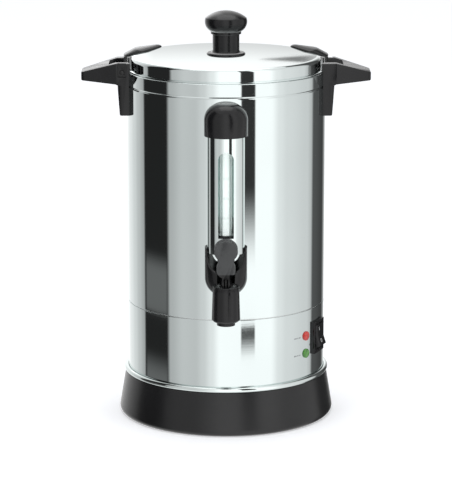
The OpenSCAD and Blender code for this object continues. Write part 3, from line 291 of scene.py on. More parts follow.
finish = {
    "tank": polishedSheet("tankSteel", {
        "light": (0.745, 0.805, 0.80, 1), "dark": (0.715, 0.775, 0.77, 1), "rough": 0.05,
        "roughHair": 0.02, "roughSmear": 0.02, "along": 6, "across": 900, "cloudScale": 7,
        "smearScale": 16, "hairDepth": 0.00002, "hairStrength": 0.15}),
    "lid": polishedSheet("lidSteel", {
        "light": (0.80, 0.86, 0.855, 1), "dark": (0.78, 0.84, 0.835, 1), "rough": 0.05,
        "roughHair": 0.02, "roughSmear": 0.02, "topZ": 0.4008, "topFade": 0.001, "topRough": -0.022,
        "along": 8, "across": 700, "cloudScale": 9, "smearScale": 20, "hairDepth": 0.00001,
        "hairStrength": 0.1}),
    "chrome": polishedSheet("brightChrome", {
        "light": (0.80, 0.865, 0.855, 1), "dark": (0.77, 0.835, 0.825, 1), "rough": 0.06,
        "roughHair": 0.01, "roughSmear": 0.04, "along": 20, "across": 300, "cloudScale": 15,
        "smearScale": 30, "hairDepth": 0.00001, "hairStrength": 0.05}),
    "inner": polishedSheet("drawnSteel", {
        "light": grey(0.70), "dark": grey(0.62), "rough": 0.32, "roughHair": 0.08, "roughSmear": 0.12,
        "along": 12, "across": 500, "cloudScale": 20, "smearScale": 40, "hairDepth": 0.00003,
        "hairStrength": 0.3}),
    "black": mouldedPlastic("blackMoulding", {
        "deep": (0.006, 0.006, 0.0065, 1), "worn": (0.010, 0.010, 0.0105, 1), "rough": 0.22,
        "roughWipe": 0.08, "roughGrain": 0.03, "gloss": 0.36, "grainScale": 900, "wipeScale": 26,
        "grainDepth": 0.00002, "grainStrength": 0.03}),
    "base": mouldedPlastic("baseMoulding", {
        "deep": (0.005, 0.005, 0.0055, 1), "worn": (0.009, 0.009, 0.0095, 1), "rough": 0.25,
        "roughWipe": 0.06, "roughGrain": 0.05, "gloss": 0.5, "grainScale": 1100, "wipeScale": 18,
        "grainDepth": 0.00003, "grainStrength": 0.2}),
    # the lever's near-black neck colour is painted shade under its lower lobe
    "lever": leverPlastic("leverMoulding", {
        "deep": (0.050, 0.052, 0.052, 1), "worn": (0.062, 0.064, 0.064, 1),
        "neck": (0.008, 0.008, 0.0085, 1), "rough": 0.45, "roughWipe": 0.08, "roughGrain": 0.12,
        "gloss": 0.45, "grainScale": 1300, "wipeScale": 40, "grainDepth": 0.00005,
        "grainStrength": 0.3, "pinY": -0.1666, "pinZ": 0.1855, "lean": math.radians(18),
        "shadedNeckTop": 0.0100, "shadedNeckFade": 0.0002}),
    "terminal": mouldedPlastic("creamMoulding", {
        "deep": (0.70, 0.66, 0.55, 1), "worn": (0.78, 0.74, 0.64, 1), "rough": 0.5, "roughWipe": 0.1,
        "roughGrain": 0.1, "gloss": 0.4, "grainScale": 700, "wipeScale": 30, "grainDepth": 0.00004,
        "grainStrength": 0.2}),
    "lead": mouldedPlastic("blueSleeve", {
        "deep": (0.04, 0.08, 0.28, 1), "worn": (0.06, 0.11, 0.34, 1), "rough": 0.4, "roughWipe": 0.1,
        "roughGrain": 0.1, "gloss": 0.5, "grainScale": 500, "wipeScale": 30, "grainDepth": 0.00003,
        "grainStrength": 0.2}),
    "hardware": turnedSteel("platedSteel", {
        "light": grey(0.66), "dark": grey(0.52), "rough": 0.3, "roughMarks": 0.2, "markScale": 600,
        "stainScale": 90, "markDepth": 0.00003, "markStrength": 0.4}),
    "blackened": turnedSteel("blackenedSteel", {
        "light": grey(0.060), "dark": grey(0.035), "rough": 0.35, "roughMarks": 0.2, "markScale": 600,
        "stainScale": 90, "markDepth": 0.00003, "markStrength": 0.4}),
    "brass": turnedSteel("platedBrass", {
        "light": (0.80, 0.66, 0.34, 1), "dark": (0.68, 0.53, 0.25, 1), "rough": 0.25,
        "roughMarks": 0.15, "markScale": 500, "stainScale": 110, "markDepth": 0.00002,
        "markStrength": 0.4}),
    "sheath": turnedSteel("elementSheath", {
        "light": (0.22, 0.20, 0.19, 1), "dark": (0.10, 0.09, 0.09, 1), "rough": 0.55,
        "roughMarks": 0.2, "markScale": 260, "stainScale": 60, "markDepth": 0.00005,
        "markStrength": 0.4}),
    "print": mouldedPlastic("greyPrint", {
        "deep": (0.30, 0.31, 0.31, 1), "worn": (0.38, 0.39, 0.39, 1), "rough": 0.5, "roughWipe": 0.1,
        "roughGrain": 0.1, "gloss": 0.3, "grainScale": 2000, "wipeScale": 90, "grainDepth": 0.00001,
        "grainStrength": 0.1}),
    "markWhite": mouldedPlastic("markWhite", {
        "deep": (0.62, 0.62, 0.60, 1), "worn": (0.70, 0.70, 0.68, 1), "rough": 0.5, "roughWipe": 0.1,
        "roughGrain": 0.1, "gloss": 0.3, "grainScale": 2000, "wipeScale": 90, "grainDepth": 0.00001,
        "grainStrength": 0.1}),
    "rubber": softRubber("blackRubber", {
        "deep": (0.014, 0.014, 0.014, 1), "dusty": (0.040, 0.039, 0.038, 1), "rough": 0.75,
        "roughGrain": 0.2, "grainScale": 500, "grainDepth": 0.00008, "grainStrength": 0.5}),
    "silicone": softRubber("paleSilicone", {
        "deep": (0.72, 0.72, 0.68, 1), "dusty": (0.82, 0.82, 0.79, 1), "rough": 0.55,
        "roughGrain": 0.2, "grainScale": 400, "grainDepth": 0.00005, "grainStrength": 0.5}),
    "red": lampLens("redLens", {
        "deep": (0.30, 0.010, 0.008, 1), "bright": (0.62, 0.035, 0.025, 1),
        "glow": (0.9, 0.05, 0.03, 1), "glowStrength": 0.12, "speckScale": 420, "rough": 0.12,
        "roughSpeck": 0.1, "coat": 0.6, "coatRough": 0.05}),
    "green": lampLens("greenLens", {
        "deep": (0.030, 0.13, 0.015, 1), "bright": (0.10, 0.34, 0.04, 1),
        "glow": (0.1, 0.6, 0.05, 1), "glowStrength": 0.05, "speckScale": 420, "rough": 0.12,
        "roughSpeck": 0.1, "coat": 0.6, "coatRough": 0.05}),
    # the gauge's white strip and its glow paint the highlight down the glass
    "glass": tubeGlass("gaugeGlass", {
        "clear": (0.93, 0.96, 0.95, 1), "film": (0.80, 0.86, 0.84, 1), "through": (0.95, 0.98, 0.97, 1),
        "filmScale": 70, "rough": 0.06, "roughFilm": 0.08, "edge": 0.8, "edgeBlend": 0.35, "face": 0.08,
        "axis": -0.1215, "strip": grey(0.86), "stripWorn": grey(0.80), "stripHalf": 0.0037,
        "stripFade": 0.0003, "stripRough": 0.3, "stripFilm": 0.1, "stripHighlightGlow": 0.75,
        "mark": grey(0.35), "markStrength": 0.45, "markLow": 0.243, "markHigh": 0.286,
        "markStep": 0.0215, "markHalf": 0.0009, "markFade": 2.2, "markPast": 0.01}),
}
print("finishes made:", len(finish))


# mesh helpers; outlines are in millimetres, meshes in metres

weld = {"reach": 0.000002, "flat": 0.4, "edgeAngle": 30, "edgeSteps": 2}

# a lathed wall has rings this near to each of its edges, so that its long faces shade as a true cylinder
hold = (0.3, 0.6)


def keep(mesh, name, paint, body, *replaced, crease=32):
    # a finished piece: smooth but for its sharp edges, riding on its body
    mesh.materials.clear()
    mesh.materials.append(paint)
    mesh.polygons.foreach_set("use_smooth", [True] * len(mesh.polygons))
    mesh.set_sharp_from_angle(angle=math.radians(crease))
    piece = loose(name, mesh)
    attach(piece, body)
    if replaced:
        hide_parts(*replaced)
    return piece


def loose(name, mesh):
    piece = bpy.data.objects.new(name, mesh)
    bpy.context.scene.collection.objects.link(piece)
    return piece


def settled(piece):
    # applies a piece's modifiers and returns its plain mesh
    bpy.context.view_layer.update()
    mesh = bpy.data.meshes.new_from_object(piece.evaluated_get(bpy.context.evaluated_depsgraph_get()))
    bpy.data.objects.remove(piece)
    return mesh


def meshOf(bm, name, outward=True):
    if outward:
        bmesh.ops.recalc_face_normals(bm, faces=bm.faces)
    mesh = bpy.data.meshes.new(name)
    bm.to_mesh(mesh)
    bm.free()
    return mesh


def arc(x, z, r, start, end, steps=8):
    # points of an arc in an outline, from start to end in degrees
    turns = [math.radians(start + (end - start) * i / steps) for i in range(steps + 1)]
    return [(x + r * math.cos(t), z + r * math.sin(t)) for t in turns]


def spun(name, outline, turns=192, along=(0, 0)):
    # turns a closed outline of (radius, height) about an upright axis; points on the axis become poles
    bm = bmesh.new()
    rings = []
    for r, z in outline:
        count = turns if r > 0 else 1
        rings.append([bm.verts.new(((along[0] + r * math.cos(2 * math.pi * i / turns)) * mm,
                                    (along[1] + r * math.sin(2 * math.pi * i / turns)) * mm, z * mm))
                      for i in range(count)])
    for ring, other in zip(rings, rings[1:] + rings[:1]):
        if len(ring) == 1 and len(other) == 1:
            continue
        for i in range(turns):
            j = (i + 1) % turns
            corners = [ring[i % len(ring)], ring[j % len(ring)], other[j % len(other)], other[i % len(other)]]
            bm.faces.new(list(dict.fromkeys(corners)))
    return meshOf(bm, name)


def pushed(name, outline, place, *ends):
    # a closed prism between two ends; place turns an outline's point and an end into a point in space
    bm = bmesh.new()
    first, last = [[bm.verts.new([k * mm for k in place(a, b, end)]) for a, b in outline] for end in ends]
    for i in range(len(outline)):
        j = (i + 1) % len(outline)
        bm.faces.new((first[i], first[j], last[j], last[i]))
    bm.faces.new(first[::-1])
    bm.faces.new(last)
    return meshOf(bm, name)


def boxed(name, low, high, turned=Matrix()):
    # a block between two corners, turned by a matrix
    bm = bmesh.new()
    bmesh.ops.create_cube(bm, size=1)
    for v in bm.verts:
        v.co = turned @ Vector([(low[i] + (v.co[i] + 0.5) * (high[i] - low[i])) * mm for i in range(3)])
    return meshOf(bm, name)


def less(mesh, *cutters):
    # takes closed meshes out of a closed mesh
    piece = loose("cutting", mesh)
    cutters = [loose("cutter" + str(i), cutter) for i, cutter in enumerate(cutters)]
    for cutter in cutters:
        slot = piece.modifiers.new(cutter.name, "BOOLEAN")
        slot.operation = "DIFFERENCE"
        slot.solver = "EXACT"
        slot.object = cutter
    mesh = settled(piece)
    for cutter in cutters:
        bpy.data.objects.remove(cutter)
    return mesh


def softened(mesh, edge, steps, angle):
    # rounds the edges of a mesh that turn by more than an angle
    piece = loose("softening", mesh)
    rounding = piece.modifiers.new("edges", "BEVEL")
    rounding.width = edge * mm
    rounding.segments = steps
    rounding.limit_method = "ANGLE"
    rounding.angle_limit = math.radians(angle)
    return settled(piece)


def copied(node, edge=0.0):
    # a welded copy of a CAD node's mesh, its flat faces whole again and its hard edges rounded
    bm = bmesh.new()
    bm.from_mesh(nodes[node].data)
    bmesh.ops.remove_doubles(bm, verts=bm.verts, dist=weld["reach"])
    bmesh.ops.dissolve_limit(bm, angle_limit=math.radians(weld["flat"]), verts=bm.verts, edges=bm.edges)
    mesh = meshOf(bm, node + "Copy", outward=False)
    return softened(mesh, edge, weld["edgeSteps"], weld["edgeAngle"]) if edge else mesh


# tank: its wall with a rolled groove and a brim, and the plain casing below the seam

tankSize = {"wall": 1.0, "seam": 129.3, "seamRound": 0.4, "brim": 386.0, "brimIn": 102.8, "brimRound": 1.0,
            "lipRound": 0.5, "groove": 370.7, "grooveDepth": 0.7, "grooveHalf": 1.6, "grooveSteps": 5,
            "seamSteps": 3, "brimSteps": 6, "lipSteps": 4, "collar": 0.6, "collarLow": 1.2,
            "collarFoot": 3.0, "turns": 256}


def makeTank():
    s = tankSize
    near, far = hold
    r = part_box("tank_shell")[1][0] / mm
    inner = r - s["wall"]
    collar = inner - s["collar"]
    seamTop = s["seam"] + s["seamRound"]
    brimLow = s["brim"] - s["brimRound"]
    brimUnder = s["brim"] - s["wall"]
    shares = [t / s["grooveSteps"] for t in range(-s["grooveSteps"], s["grooveSteps"] + 1)]
    dip = [(r - s["grooveDepth"] * (1 + math.cos(math.pi * t)) / 2, s["groove"] + s["grooveHalf"] * t)
           for t in shares]
    outline = [(inner, s["seam"])] + arc(r - s["seamRound"], seamTop, s["seamRound"], -90, 0,
                                        s["seamSteps"])
    outline += [(r, seamTop + near), (r, seamTop + far), (r, dip[0][1] - far), (r, dip[0][1] - near)] + dip
    outline += [(r, dip[-1][1] + near), (r, dip[-1][1] + far), (r, brimLow - far), (r, brimLow - near)]
    outline += arc(r - s["brimRound"], brimLow, s["brimRound"], 0, 90, s["brimSteps"])
    outline += arc(s["brimIn"] + s["lipRound"], s["brim"] - s["lipRound"], s["lipRound"], 90, 180,
                   s["lipSteps"])
    outline += [(s["brimIn"], brimUnder), (collar, brimUnder), (collar, s["groove"] - s["collarLow"]),
                (inner, s["groove"] - s["collarFoot"])]
    keep(spun("tankWall", outline, s["turns"]), "tankWall", finish["tank"], bodyOf["tank_shell"],
         "tank_shell")


casingSize = {"wall": 1.0, "foot": 40.0, "footHold": 0.5, "seam": 128.5, "seamRound": 0.5, "lip": 9.0,
              "ledge": 12.0, "inletHalf": 14.4, "inletLow": 67.2, "inletHigh": 88.8, "inletReach": 8.0,
              "seamSteps": 4, "turns": 256}


def makeCasing():
    s = casingSize
    near, far = hold
    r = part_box("lower_casing")[1][0] / mm
    inner = r - s["wall"]
    seamLow = s["seam"] - s["seamRound"]
    outline = [(r - s["ledge"], s["foot"]), (r, s["foot"]), (r, s["foot"] + s["footHold"]),
               (r, seamLow - far), (r, seamLow - near)]
    outline += arc(r - s["seamRound"], seamLow, s["seamRound"], 0, 90, s["seamSteps"])
    outline += [(r - s["lip"], s["seam"]), (r - s["lip"], s["seam"] - s["wall"]),
                (inner, s["seam"] - s["wall"]), (inner, s["foot"] + s["wall"]),
                (r - s["ledge"], s["foot"] + s["wall"])]
    inlet = boxed("inletHole", (-s["inletHalf"], r - s["inletReach"], s["inletLow"]),
                  (s["inletHalf"], r + s["inletReach"], s["inletHigh"]))
    mesh = less(spun("casingWall", outline, s["turns"]), inlet)
    keep(mesh, "casingWall", finish["tank"], bodyOf["lower_casing"], "lower_casing")


# base: the flared skirt with its screw bosses, and the chrome bead above it

skirtSize = {"flare": 9.9, "topFlare": 3.1, "height": 48.0, "foot": 6.0, "footSteps": 14, "wall": 3.0,
             "throat": 0.3, "topRound": 0.5, "topTurn": 8, "topSteps": 4,
             "slopeHold": ((0.3, 0.7), (1.2, 0.8)), "ledge": 40.0, "ledgeWall": 3.0, "ledgeWidth": 12.0,
             "rim": 5.0, "rimWidth": 4.0, "bosses": 4, "bossRing": 101.4, "boss": 5.0, "bossHole": 2.05,
             "bossDepth": 19.0, "bossSink": 0.5, "bossTurns": 32, "bead": 3.0, "beadAt": 1.5,
             "beadTurn": 120, "beadSteps": 20, "turns": 256}


def makeSkirt():
    s = skirtSize
    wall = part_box("lower_casing")[1][0] / mm
    footX = wall + s["flare"] - s["foot"]
    top = wall + s["topFlare"]
    dx, dz = top - footX, s["height"] - s["foot"]
    turn = math.degrees(math.atan2(dz, dx)) - math.degrees(math.acos(s["foot"] / math.hypot(dx, dz)))
    bend = arc(footX, s["foot"], s["foot"], -90, turn, s["footSteps"])
    touch = bend[-1]
    slope = Vector((top - touch[0], s["height"] - touch[1])).normalized()
    above, below = s["slopeHold"]
    inner = wall + s["throat"]
    shelf = wall - s["ledgeWidth"]
    under = s["ledge"] - s["ledgeWall"]
    outline = [(footX - s["rimWidth"], 0)] + bend
    outline += [(touch[0] + slope[0] * k, touch[1] + slope[1] * k) for k in above]
    outline += [(top - slope[0] * k, s["height"] - k) for k in below]
    outline += arc(top - s["topRound"], s["height"] - s["topRound"], s["topRound"], s["topTurn"], 90,
                   s["topSteps"])
    outline += [(inner, s["height"]), (inner, s["ledge"]), (shelf, s["ledge"]), (shelf, under),
                (inner, under), (touch[0] - s["wall"], touch[1]), (touch[0] - s["wall"], s["rim"]),
                (footX - s["rimWidth"], s["rim"])]
    bm = bmesh.new()
    bm.from_mesh(spun("skirt", outline, s["turns"]))
    bored = s["rim"] + s["bossDepth"]
    roof = under + s["bossSink"]
    for i in range(s["bosses"]):
        turn = 2 * math.pi * i / s["bosses"]
        at = (s["bossRing"] * math.cos(turn), s["bossRing"] * math.sin(turn))
        bm.from_mesh(spun("boss", [(s["bossHole"], s["rim"]), (s["boss"], s["rim"]), (s["boss"], roof),
                                   (0, roof), (0, bored), (s["bossHole"], bored)], s["bossTurns"], at))
    keep(meshOf(bm, "baseSkirt"), "baseSkirt", finish["base"], bodyOf["base_skirt"], "base_skirt")
    bead = arc(inner + s["beadAt"], s["height"] + s["bead"], s["bead"], -s["beadTurn"], s["beadTurn"],
               s["beadSteps"])
    keep(spun("trimBead", bead, s["turns"]), "trimBead", finish["chrome"], bodyOf["trim_ring"], "trim_ring",
         crease=40)


# lid and knob

lidSize = {"height": 401.4, "edge": 4.5, "edgeSteps": 12, "edgeHold": (1.5, 0.5), "sideHold": (0.5, 1.0),
           "wall": 1.0, "flange": 107.42, "flangeOver": 3.42, "flangeWall": 1.5,
           "flangeEnd": ((0.5, 0.0), (0.15, 0.15), (0.0, 0.5)), "lip": 102.3, "lipDrop": 5.5,
           "lipRound": 0.5, "brim": 386.0, "hole": 2.55, "holeHold": 1.0,
           "rings": (20, 30, 40, 50, 60, 70, 80, 90), "turns": 256}


def makeLid():
    s = lidSize
    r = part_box("lid_shell")[1][0] / mm - s["flangeOver"]
    top, seat, wall, edge = s["height"], s["brim"], s["wall"], s["edge"]
    flangeTop = seat + s["flangeWall"]
    steps = [s["hole"], s["hole"] + s["holeHold"], *s["rings"]] + [r - edge - k for k in s["edgeHold"]]
    outline = [(x, top) for x in steps] + arc(r - edge, top - edge, edge, 90, 0, s["edgeSteps"])
    outline += [(r, top - edge - k) for k in s["sideHold"]] + [(r, flangeTop + hold[1]), (r, flangeTop)]
    outline += [(s["flange"] - x, flangeTop - z) for x, z in s["flangeEnd"]]
    outline += [(s["flange"] - x, seat + z) for x, z in s["flangeEnd"][::-1]]
    lipEnd = seat - s["lipDrop"]
    outline += [(s["lip"], seat), (s["lip"], lipEnd + wall), (s["lip"] - s["lipRound"], lipEnd),
                (s["lip"] - wall, lipEnd), (s["lip"] - wall, seat + wall), (r - wall, seat + wall)]
    outline += arc(r - edge, top - edge, edge - wall, 0, 90) + [(s["hole"], top - wall)]
    keep(spun("lidShell", outline, s["turns"]), "lidShell", finish["lid"], bodyOf["lid_shell"], "lid_shell")


knobSize = {"radius": 23.25, "head": 24.0, "headFrom": -62, "stem": 14.75, "stemHold": 0.5, "step": 2.0,
            "stepHeight": 1.5, "stepRound": 0.3, "waist": 1.9, "foot": 3.6, "footSteps": 12, "fillet": 3.0,
            "dome": 36.04, "domeGap": 0.6, "domeSteps": 24, "headSteps": 60, "bore": 2.55, "boreDepth": 16.0,
            "turns": 128}


def makeKnob():
    s = knobSize
    low, high = [corner[2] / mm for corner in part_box("lid_knob")]
    edge, neck, r = s["head"] / 2, s["stem"], s["foot"] / 2
    domeZ = high - s["dome"]
    ledge = high - s["head"] - s["stepHeight"]
    under = high - edge - math.sqrt(edge ** 2 - (neck + s["step"] - s["radius"] + edge) ** 2)
    rim = [p for p in arc(s["radius"] - edge, high - edge, edge, s["headFrom"], 90, s["headSteps"])
           if math.hypot(p[0], p[1] - domeZ) < s["dome"] and p[1] > under]
    reach = math.degrees(math.atan2(rim[-1][1] - domeZ, rim[-1][0]))
    dome = arc(0, domeZ, s["dome"], reach + s["domeGap"], 90, s["domeSteps"])[:-1] + [(0, high)]
    foot = s["radius"] - s["waist"] - r
    neckLow = low + s["foot"] + s["fillet"]
    outline = [(s["bore"], low)] + arc(foot, low + r, r, -90, 90, s["footSteps"])
    outline += arc(neck + s["fillet"], neckLow, s["fillet"], 270, 180)
    outline += [(neck, neckLow + s["stemHold"]), (neck, ledge - s["stepRound"]), (neck, ledge),
                (neck + s["step"] - s["stepRound"], ledge), (neck + s["step"], ledge + s["stepRound"]),
                (neck + s["step"], under)]
    outline += rim + dome + [(0, low + s["boreDepth"]), (s["bore"], low + s["boreDepth"])]
    keep(spun("lidKnob", outline, s["turns"]), "lidKnob", finish["black"], bodyOf["lid_knob"], "lid_knob")


# sight gauge: its bright guard, and the glass with level marks on a glowing white strip at its back, which is
# a painted highlight

gaugeSize = {"axis": -114.0, "guard": 20.0, "wall": 0.8, "low": 206.0, "high": 334.3, "back": -107.56,
             "backSlope": 0.15, "steps": 120, "windowHalf": 8.35, "windowLow": 224.3, "windowArch": 308.65,
             "windowSteps": 40, "windowFront": -150.0, "glassAxis": -121.5, "glass": 6.8, "bore": 5.2,
             "glassRound": 0.3, "glassTurns": 64}


def makeGuard():
    s = gaugeSize
    outer, inner, axis = s["guard"], s["guard"] - s["wall"], s["axis"]
    turns = [math.pi * i / s["steps"] for i in range(s["steps"] + 1)]
    plan = [(-outer, s["back"])] + [(-outer * math.cos(t), axis - outer * math.sin(t)) for t in turns]
    plan += [(outer, s["back"]), (inner, s["back"] - s["backSlope"])]
    plan += [(inner * math.cos(t), axis - inner * math.sin(t)) for t in turns]
    plan += [(-inner, s["back"] - s["backSlope"])]
    sheet = pushed("guardSheet", plan, lambda x, y, z: (x, y, z), s["low"], s["high"])
    half = s["windowHalf"]
    slot = [(-half, s["windowLow"]), (half, s["windowLow"])]
    slot += arc(0, s["windowArch"], half, 0, 180, s["windowSteps"])
    window = pushed("window", slot, lambda x, z, y: (x, y, z), s["windowFront"], axis)
    piece = keep(less(sheet, window), "gaugeGuard", finish["chrome"], bodyOf["gauge_guard"], "gauge_guard")
    trueRound(piece.data, (0, axis))


def trueRound(mesh, centre, level=0.1, match=0.99):
    # gives the faces of a bent sheet the normals of the round it follows, so that what it mirrors is straight
    normals = [Vector((0, 0, 0))] * len(mesh.loops)
    middle = Vector((centre[0] * mm, centre[1] * mm, 0))
    flat = Vector((1, 1, 0))
    for face in mesh.polygons:
        out = (face.center - middle) * flat
        if abs(face.normal.z) > level or out.y > 0 or abs(face.normal.dot(out.normalized())) < match:
            continue
        side = 1 if face.normal.dot(out) > 0 else -1
        for i in face.loop_indices:
            at = mesh.vertices[mesh.loops[i].vertex_index].co
            normals[i] = side * ((at - middle) * flat).normalized()
    mesh.normals_split_custom_set(normals)


def makeGlass():
    s = gaugeSize
    low, high = [corner[2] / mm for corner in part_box("gauge_glass")]
    bore, outer, edge = s["bore"], s["glass"], s["glassRound"]
    outline = [(bore, low + edge), (bore + edge, low), (outer - edge, low), (outer, low + edge),
               (outer, high - edge), (outer - edge, high), (bore + edge, high), (bore, high - edge)]
    keep(spun("gaugeTube", outline, s["glassTurns"], (0, s["glassAxis"])), "gaugeTube", finish["glass"],
         bodyOf["gauge_glass"], "gauge_glass", crease=60)


# lever: a paddle of two lobes with a flat foot, on a neck that carries the pin; the neck's near-black colour
# is painted shade under the lower lobe

leverSize = {"tap": -166.6, "pin": 185.5, "lean": 18.0, "footAlong": 10.2, "neckHalf": 4.0, "cutWide": 20.0,
             "cutDeep": 15.0, "edge": 1.8, "edgeSteps": 3, "edgeAngle": 40}


def makeLever():
    s = leverSize
    turned = Matrix.Translation((0, s["tap"] * mm, s["pin"] * mm)) \
        @ Matrix.Rotation(math.radians(s["lean"]), 4, "X")
    near, far = s["neckHalf"], s["neckHalf"] + s["cutWide"]
    sides = [boxed("footSide", (side * near, -s["cutDeep"], 0), (side * far, s["cutDeep"], s["footAlong"]),
                   turned) for side in (-1, 1)]
    mesh = less(copied("tap_lever"), *sides)
    mesh = softened(mesh, s["edge"], s["edgeSteps"], s["edgeAngle"])
    keep(mesh, "leverPaddle", finish["lever"], bodyOf["tap_lever"], "tap_lever", crease=50)


# spring: a real coil in place of the CAD's sleeve

springSize = {"wire": 0.55, "turns": 5.0, "steps": 28, "sides": 10}


def springTree():
    tree = bpy.data.node_groups.new("valveSpring", "GeometryNodeTree")
    inputs = {"Radius": "Float", "Wire": "Float", "Height": "Float", "Turns": "Float", "Place": "Vector",
              "Finish": "Material"}
    for name, kind in inputs.items():
        tree.interface.new_socket(name, in_out="INPUT", socket_type="NodeSocket" + kind)
    tree.interface.new_socket("Geometry", in_out="OUTPUT", socket_type="NodeSocketGeometry")
    given = tree.nodes.new("NodeGroupInput").outputs

    def step(kind, sockets):
        node = tree.nodes.new("GeometryNode" + kind)
        for key, value in sockets.items():
            if isinstance(value, bpy.types.NodeSocket):
                tree.links.new(value, node.inputs[key])
            else:
                node.inputs[key].default_value = value
        return node.outputs[0]

    coil = step("CurveSpiral", {"Resolution": springSize["steps"], "Rotations": given["Turns"],
                                "Start Radius": given["Radius"], "End Radius": given["Radius"],
                                "Height": given["Height"]})
    wire = step("CurvePrimitiveCircle", {"Resolution": springSize["sides"], "Radius": given["Wire"]})
    tube = step("CurveToMesh", {"Curve": coil, "Profile Curve": wire, "Fill Caps": True})
    placed = step("Transform", {"Geometry": tube, "Translation": given["Place"]})
    real = step("RealizeInstances", {"Geometry": placed})
    painted = step("SetMaterial", {"Geometry": real, "Material": given["Finish"]})
    tree.links.new(painted, tree.nodes.new("NodeGroupOutput").inputs[0])
    return tree


def grown(name, tree, **given):
    # a plain mesh made by a Geometry Nodes tree, whose inputs are set by the sockets' identifiers
    piece = loose(name, bpy.data.meshes.new(name))
    modifier = piece.modifiers.new("grow", "NODES")
    modifier.node_group = tree
    for item in tree.interface.items_tree:
        if item.in_out == "INPUT" and item.name in given:
            modifier[item.identifier] = given[item.name]
    return settled(piece)


def makeSpring():
    s = springSize
    low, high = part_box("valve_spring")
    wire = s["wire"] * mm
    middle = (low + high) / 2
    mesh = grown("valveCoil", springTree(), Radius=(high.x - low.x) / 2 - wire, Wire=wire,
                 Height=high.z - low.z - 2 * wire, Turns=s["turns"],
                 Place=(middle.x, middle.y, low.z + wire), Finish=finish["hardware"])
    coil = keep(mesh, "valveCoil", finish["hardware"], bodyOf["valve_spring"], "valve_spring")
    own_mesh(coil)


# printed marks: plain bars beside the lights, and the on and off marks on the rocker; each is a thin
# plate that stands a little out of its surface

markSize = {"barTurns": ((43.0, 45.0), (45.5, 46.4), (46.9, 48.3)), "barHeights": (100.2, 80.4),
            "barTall": 1.3, "barSteps": 4, "sunk": 0.05, "raised": 0.04, "switchTurn": 67.5,
            "switchZ": 95.0, "axisDepth": 3.0, "tilt": -11.0, "valley": 6.0, "peak": 7.6,
            "faceHalf": 12.0, "markAt": 6.6, "barHalf": (0.45, 2.0), "ringOut": 2.0, "ringIn": 1.35,
            "ringTurns": 28}


def makeLightMarks():
    s = markSize
    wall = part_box("lower_casing")[1][0] / mm
    steps = s["barSteps"]
    half = s["barTall"] / 2
    bm = bmesh.new()
    for z in s["barHeights"]:
        for start, end in s["barTurns"]:
            turns = [math.radians(start + (end - start) * i / steps) for i in range(steps + 1)]
            inLow, inHigh, outLow, outHigh = [
                [bm.verts.new((r * math.sin(t) * mm, -r * math.cos(t) * mm, level * mm)) for t in turns]
                for r in (wall - s["sunk"], wall + s["raised"]) for level in (z - half, z + half)]
            for a, b in ((outLow, outHigh), (inHigh, inLow), (outHigh, inHigh), (inLow, outLow)):
                for i in range(steps):
                    bm.faces.new((a[i], a[i + 1], b[i + 1], b[i]))
            for i in (0, steps):
                bm.faces.new((inLow[i], inHigh[i], outHigh[i], outLow[i]))
    keep(meshOf(bm, "lightMarks"), "lightMarks", finish["print"], bodyOf["lower_casing"])


def makeRockerMarks():
    s = markSize
    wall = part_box("lower_casing")[1][0] / mm
    slope = (s["peak"] - s["valley"]) / s["faceHalf"]
    bm = bmesh.new()

    def loop(shape, lift):
        # an outline of (across, along) laid on the rocker's face, which falls to a valley in its middle
        return [bm.verts.new((x * mm, (lift - s["valley"] - slope * abs(z)) * mm, z * mm)) for x, z in shape]

    def band(a, b):
        for i in range(len(a)):
            j = (i + 1) % len(a)
            bm.faces.new((a[i], a[j], b[j], b[i]))

    w, h = s["barHalf"]
    z = s["markAt"]
    bar = [(-w, z - h), (w, z - h), (w, z + h), (-w, z + h)]
    back, front = loop(bar, s["sunk"]), loop(bar, -s["raised"])
    bm.faces.new(front)
    bm.faces.new(back[::-1])
    band(back, front)
    turns = [2 * math.pi * i / s["ringTurns"] for i in range(s["ringTurns"])]
    out, hole = [[(r * math.cos(t), r * math.sin(t) - z) for t in turns] for r in (s["ringOut"], s["ringIn"])]
    backOut, backIn, frontOut, frontIn = [loop(shape, lift) for lift in (s["sunk"], -s["raised"])
                                          for shape in (out, hole)]
    for a, b in ((frontOut, frontIn), (backIn, backOut), (backOut, frontOut), (frontIn, backIn)):
        band(a, b)
    bm.transform(Matrix.Rotation(math.radians(s["switchTurn"]), 4, "Z")
                 @ Matrix.Translation((0, (s["axisDepth"] - wall) * mm, s["switchZ"] * mm))
                 @ Matrix.Rotation(math.radians(s["tilt"]), 4, "X"))
    keep(meshOf(bm, "rockerMarks"), "rockerMarks", finish["markWhite"], bodyOf["switch_rocker"])


makeTank()
makeCasing()
makeSkirt()
makeLid()
makeKnob()
makeGuard()
makeGlass()
makeLever()
makeSpring()
makeLightMarks()
makeRockerMarks()
print("tank, base, lid, gauge and tap made")


# the rest of the CAD's shapes are right: each is welded, softened at its edges by the width given here,
# and given its finish

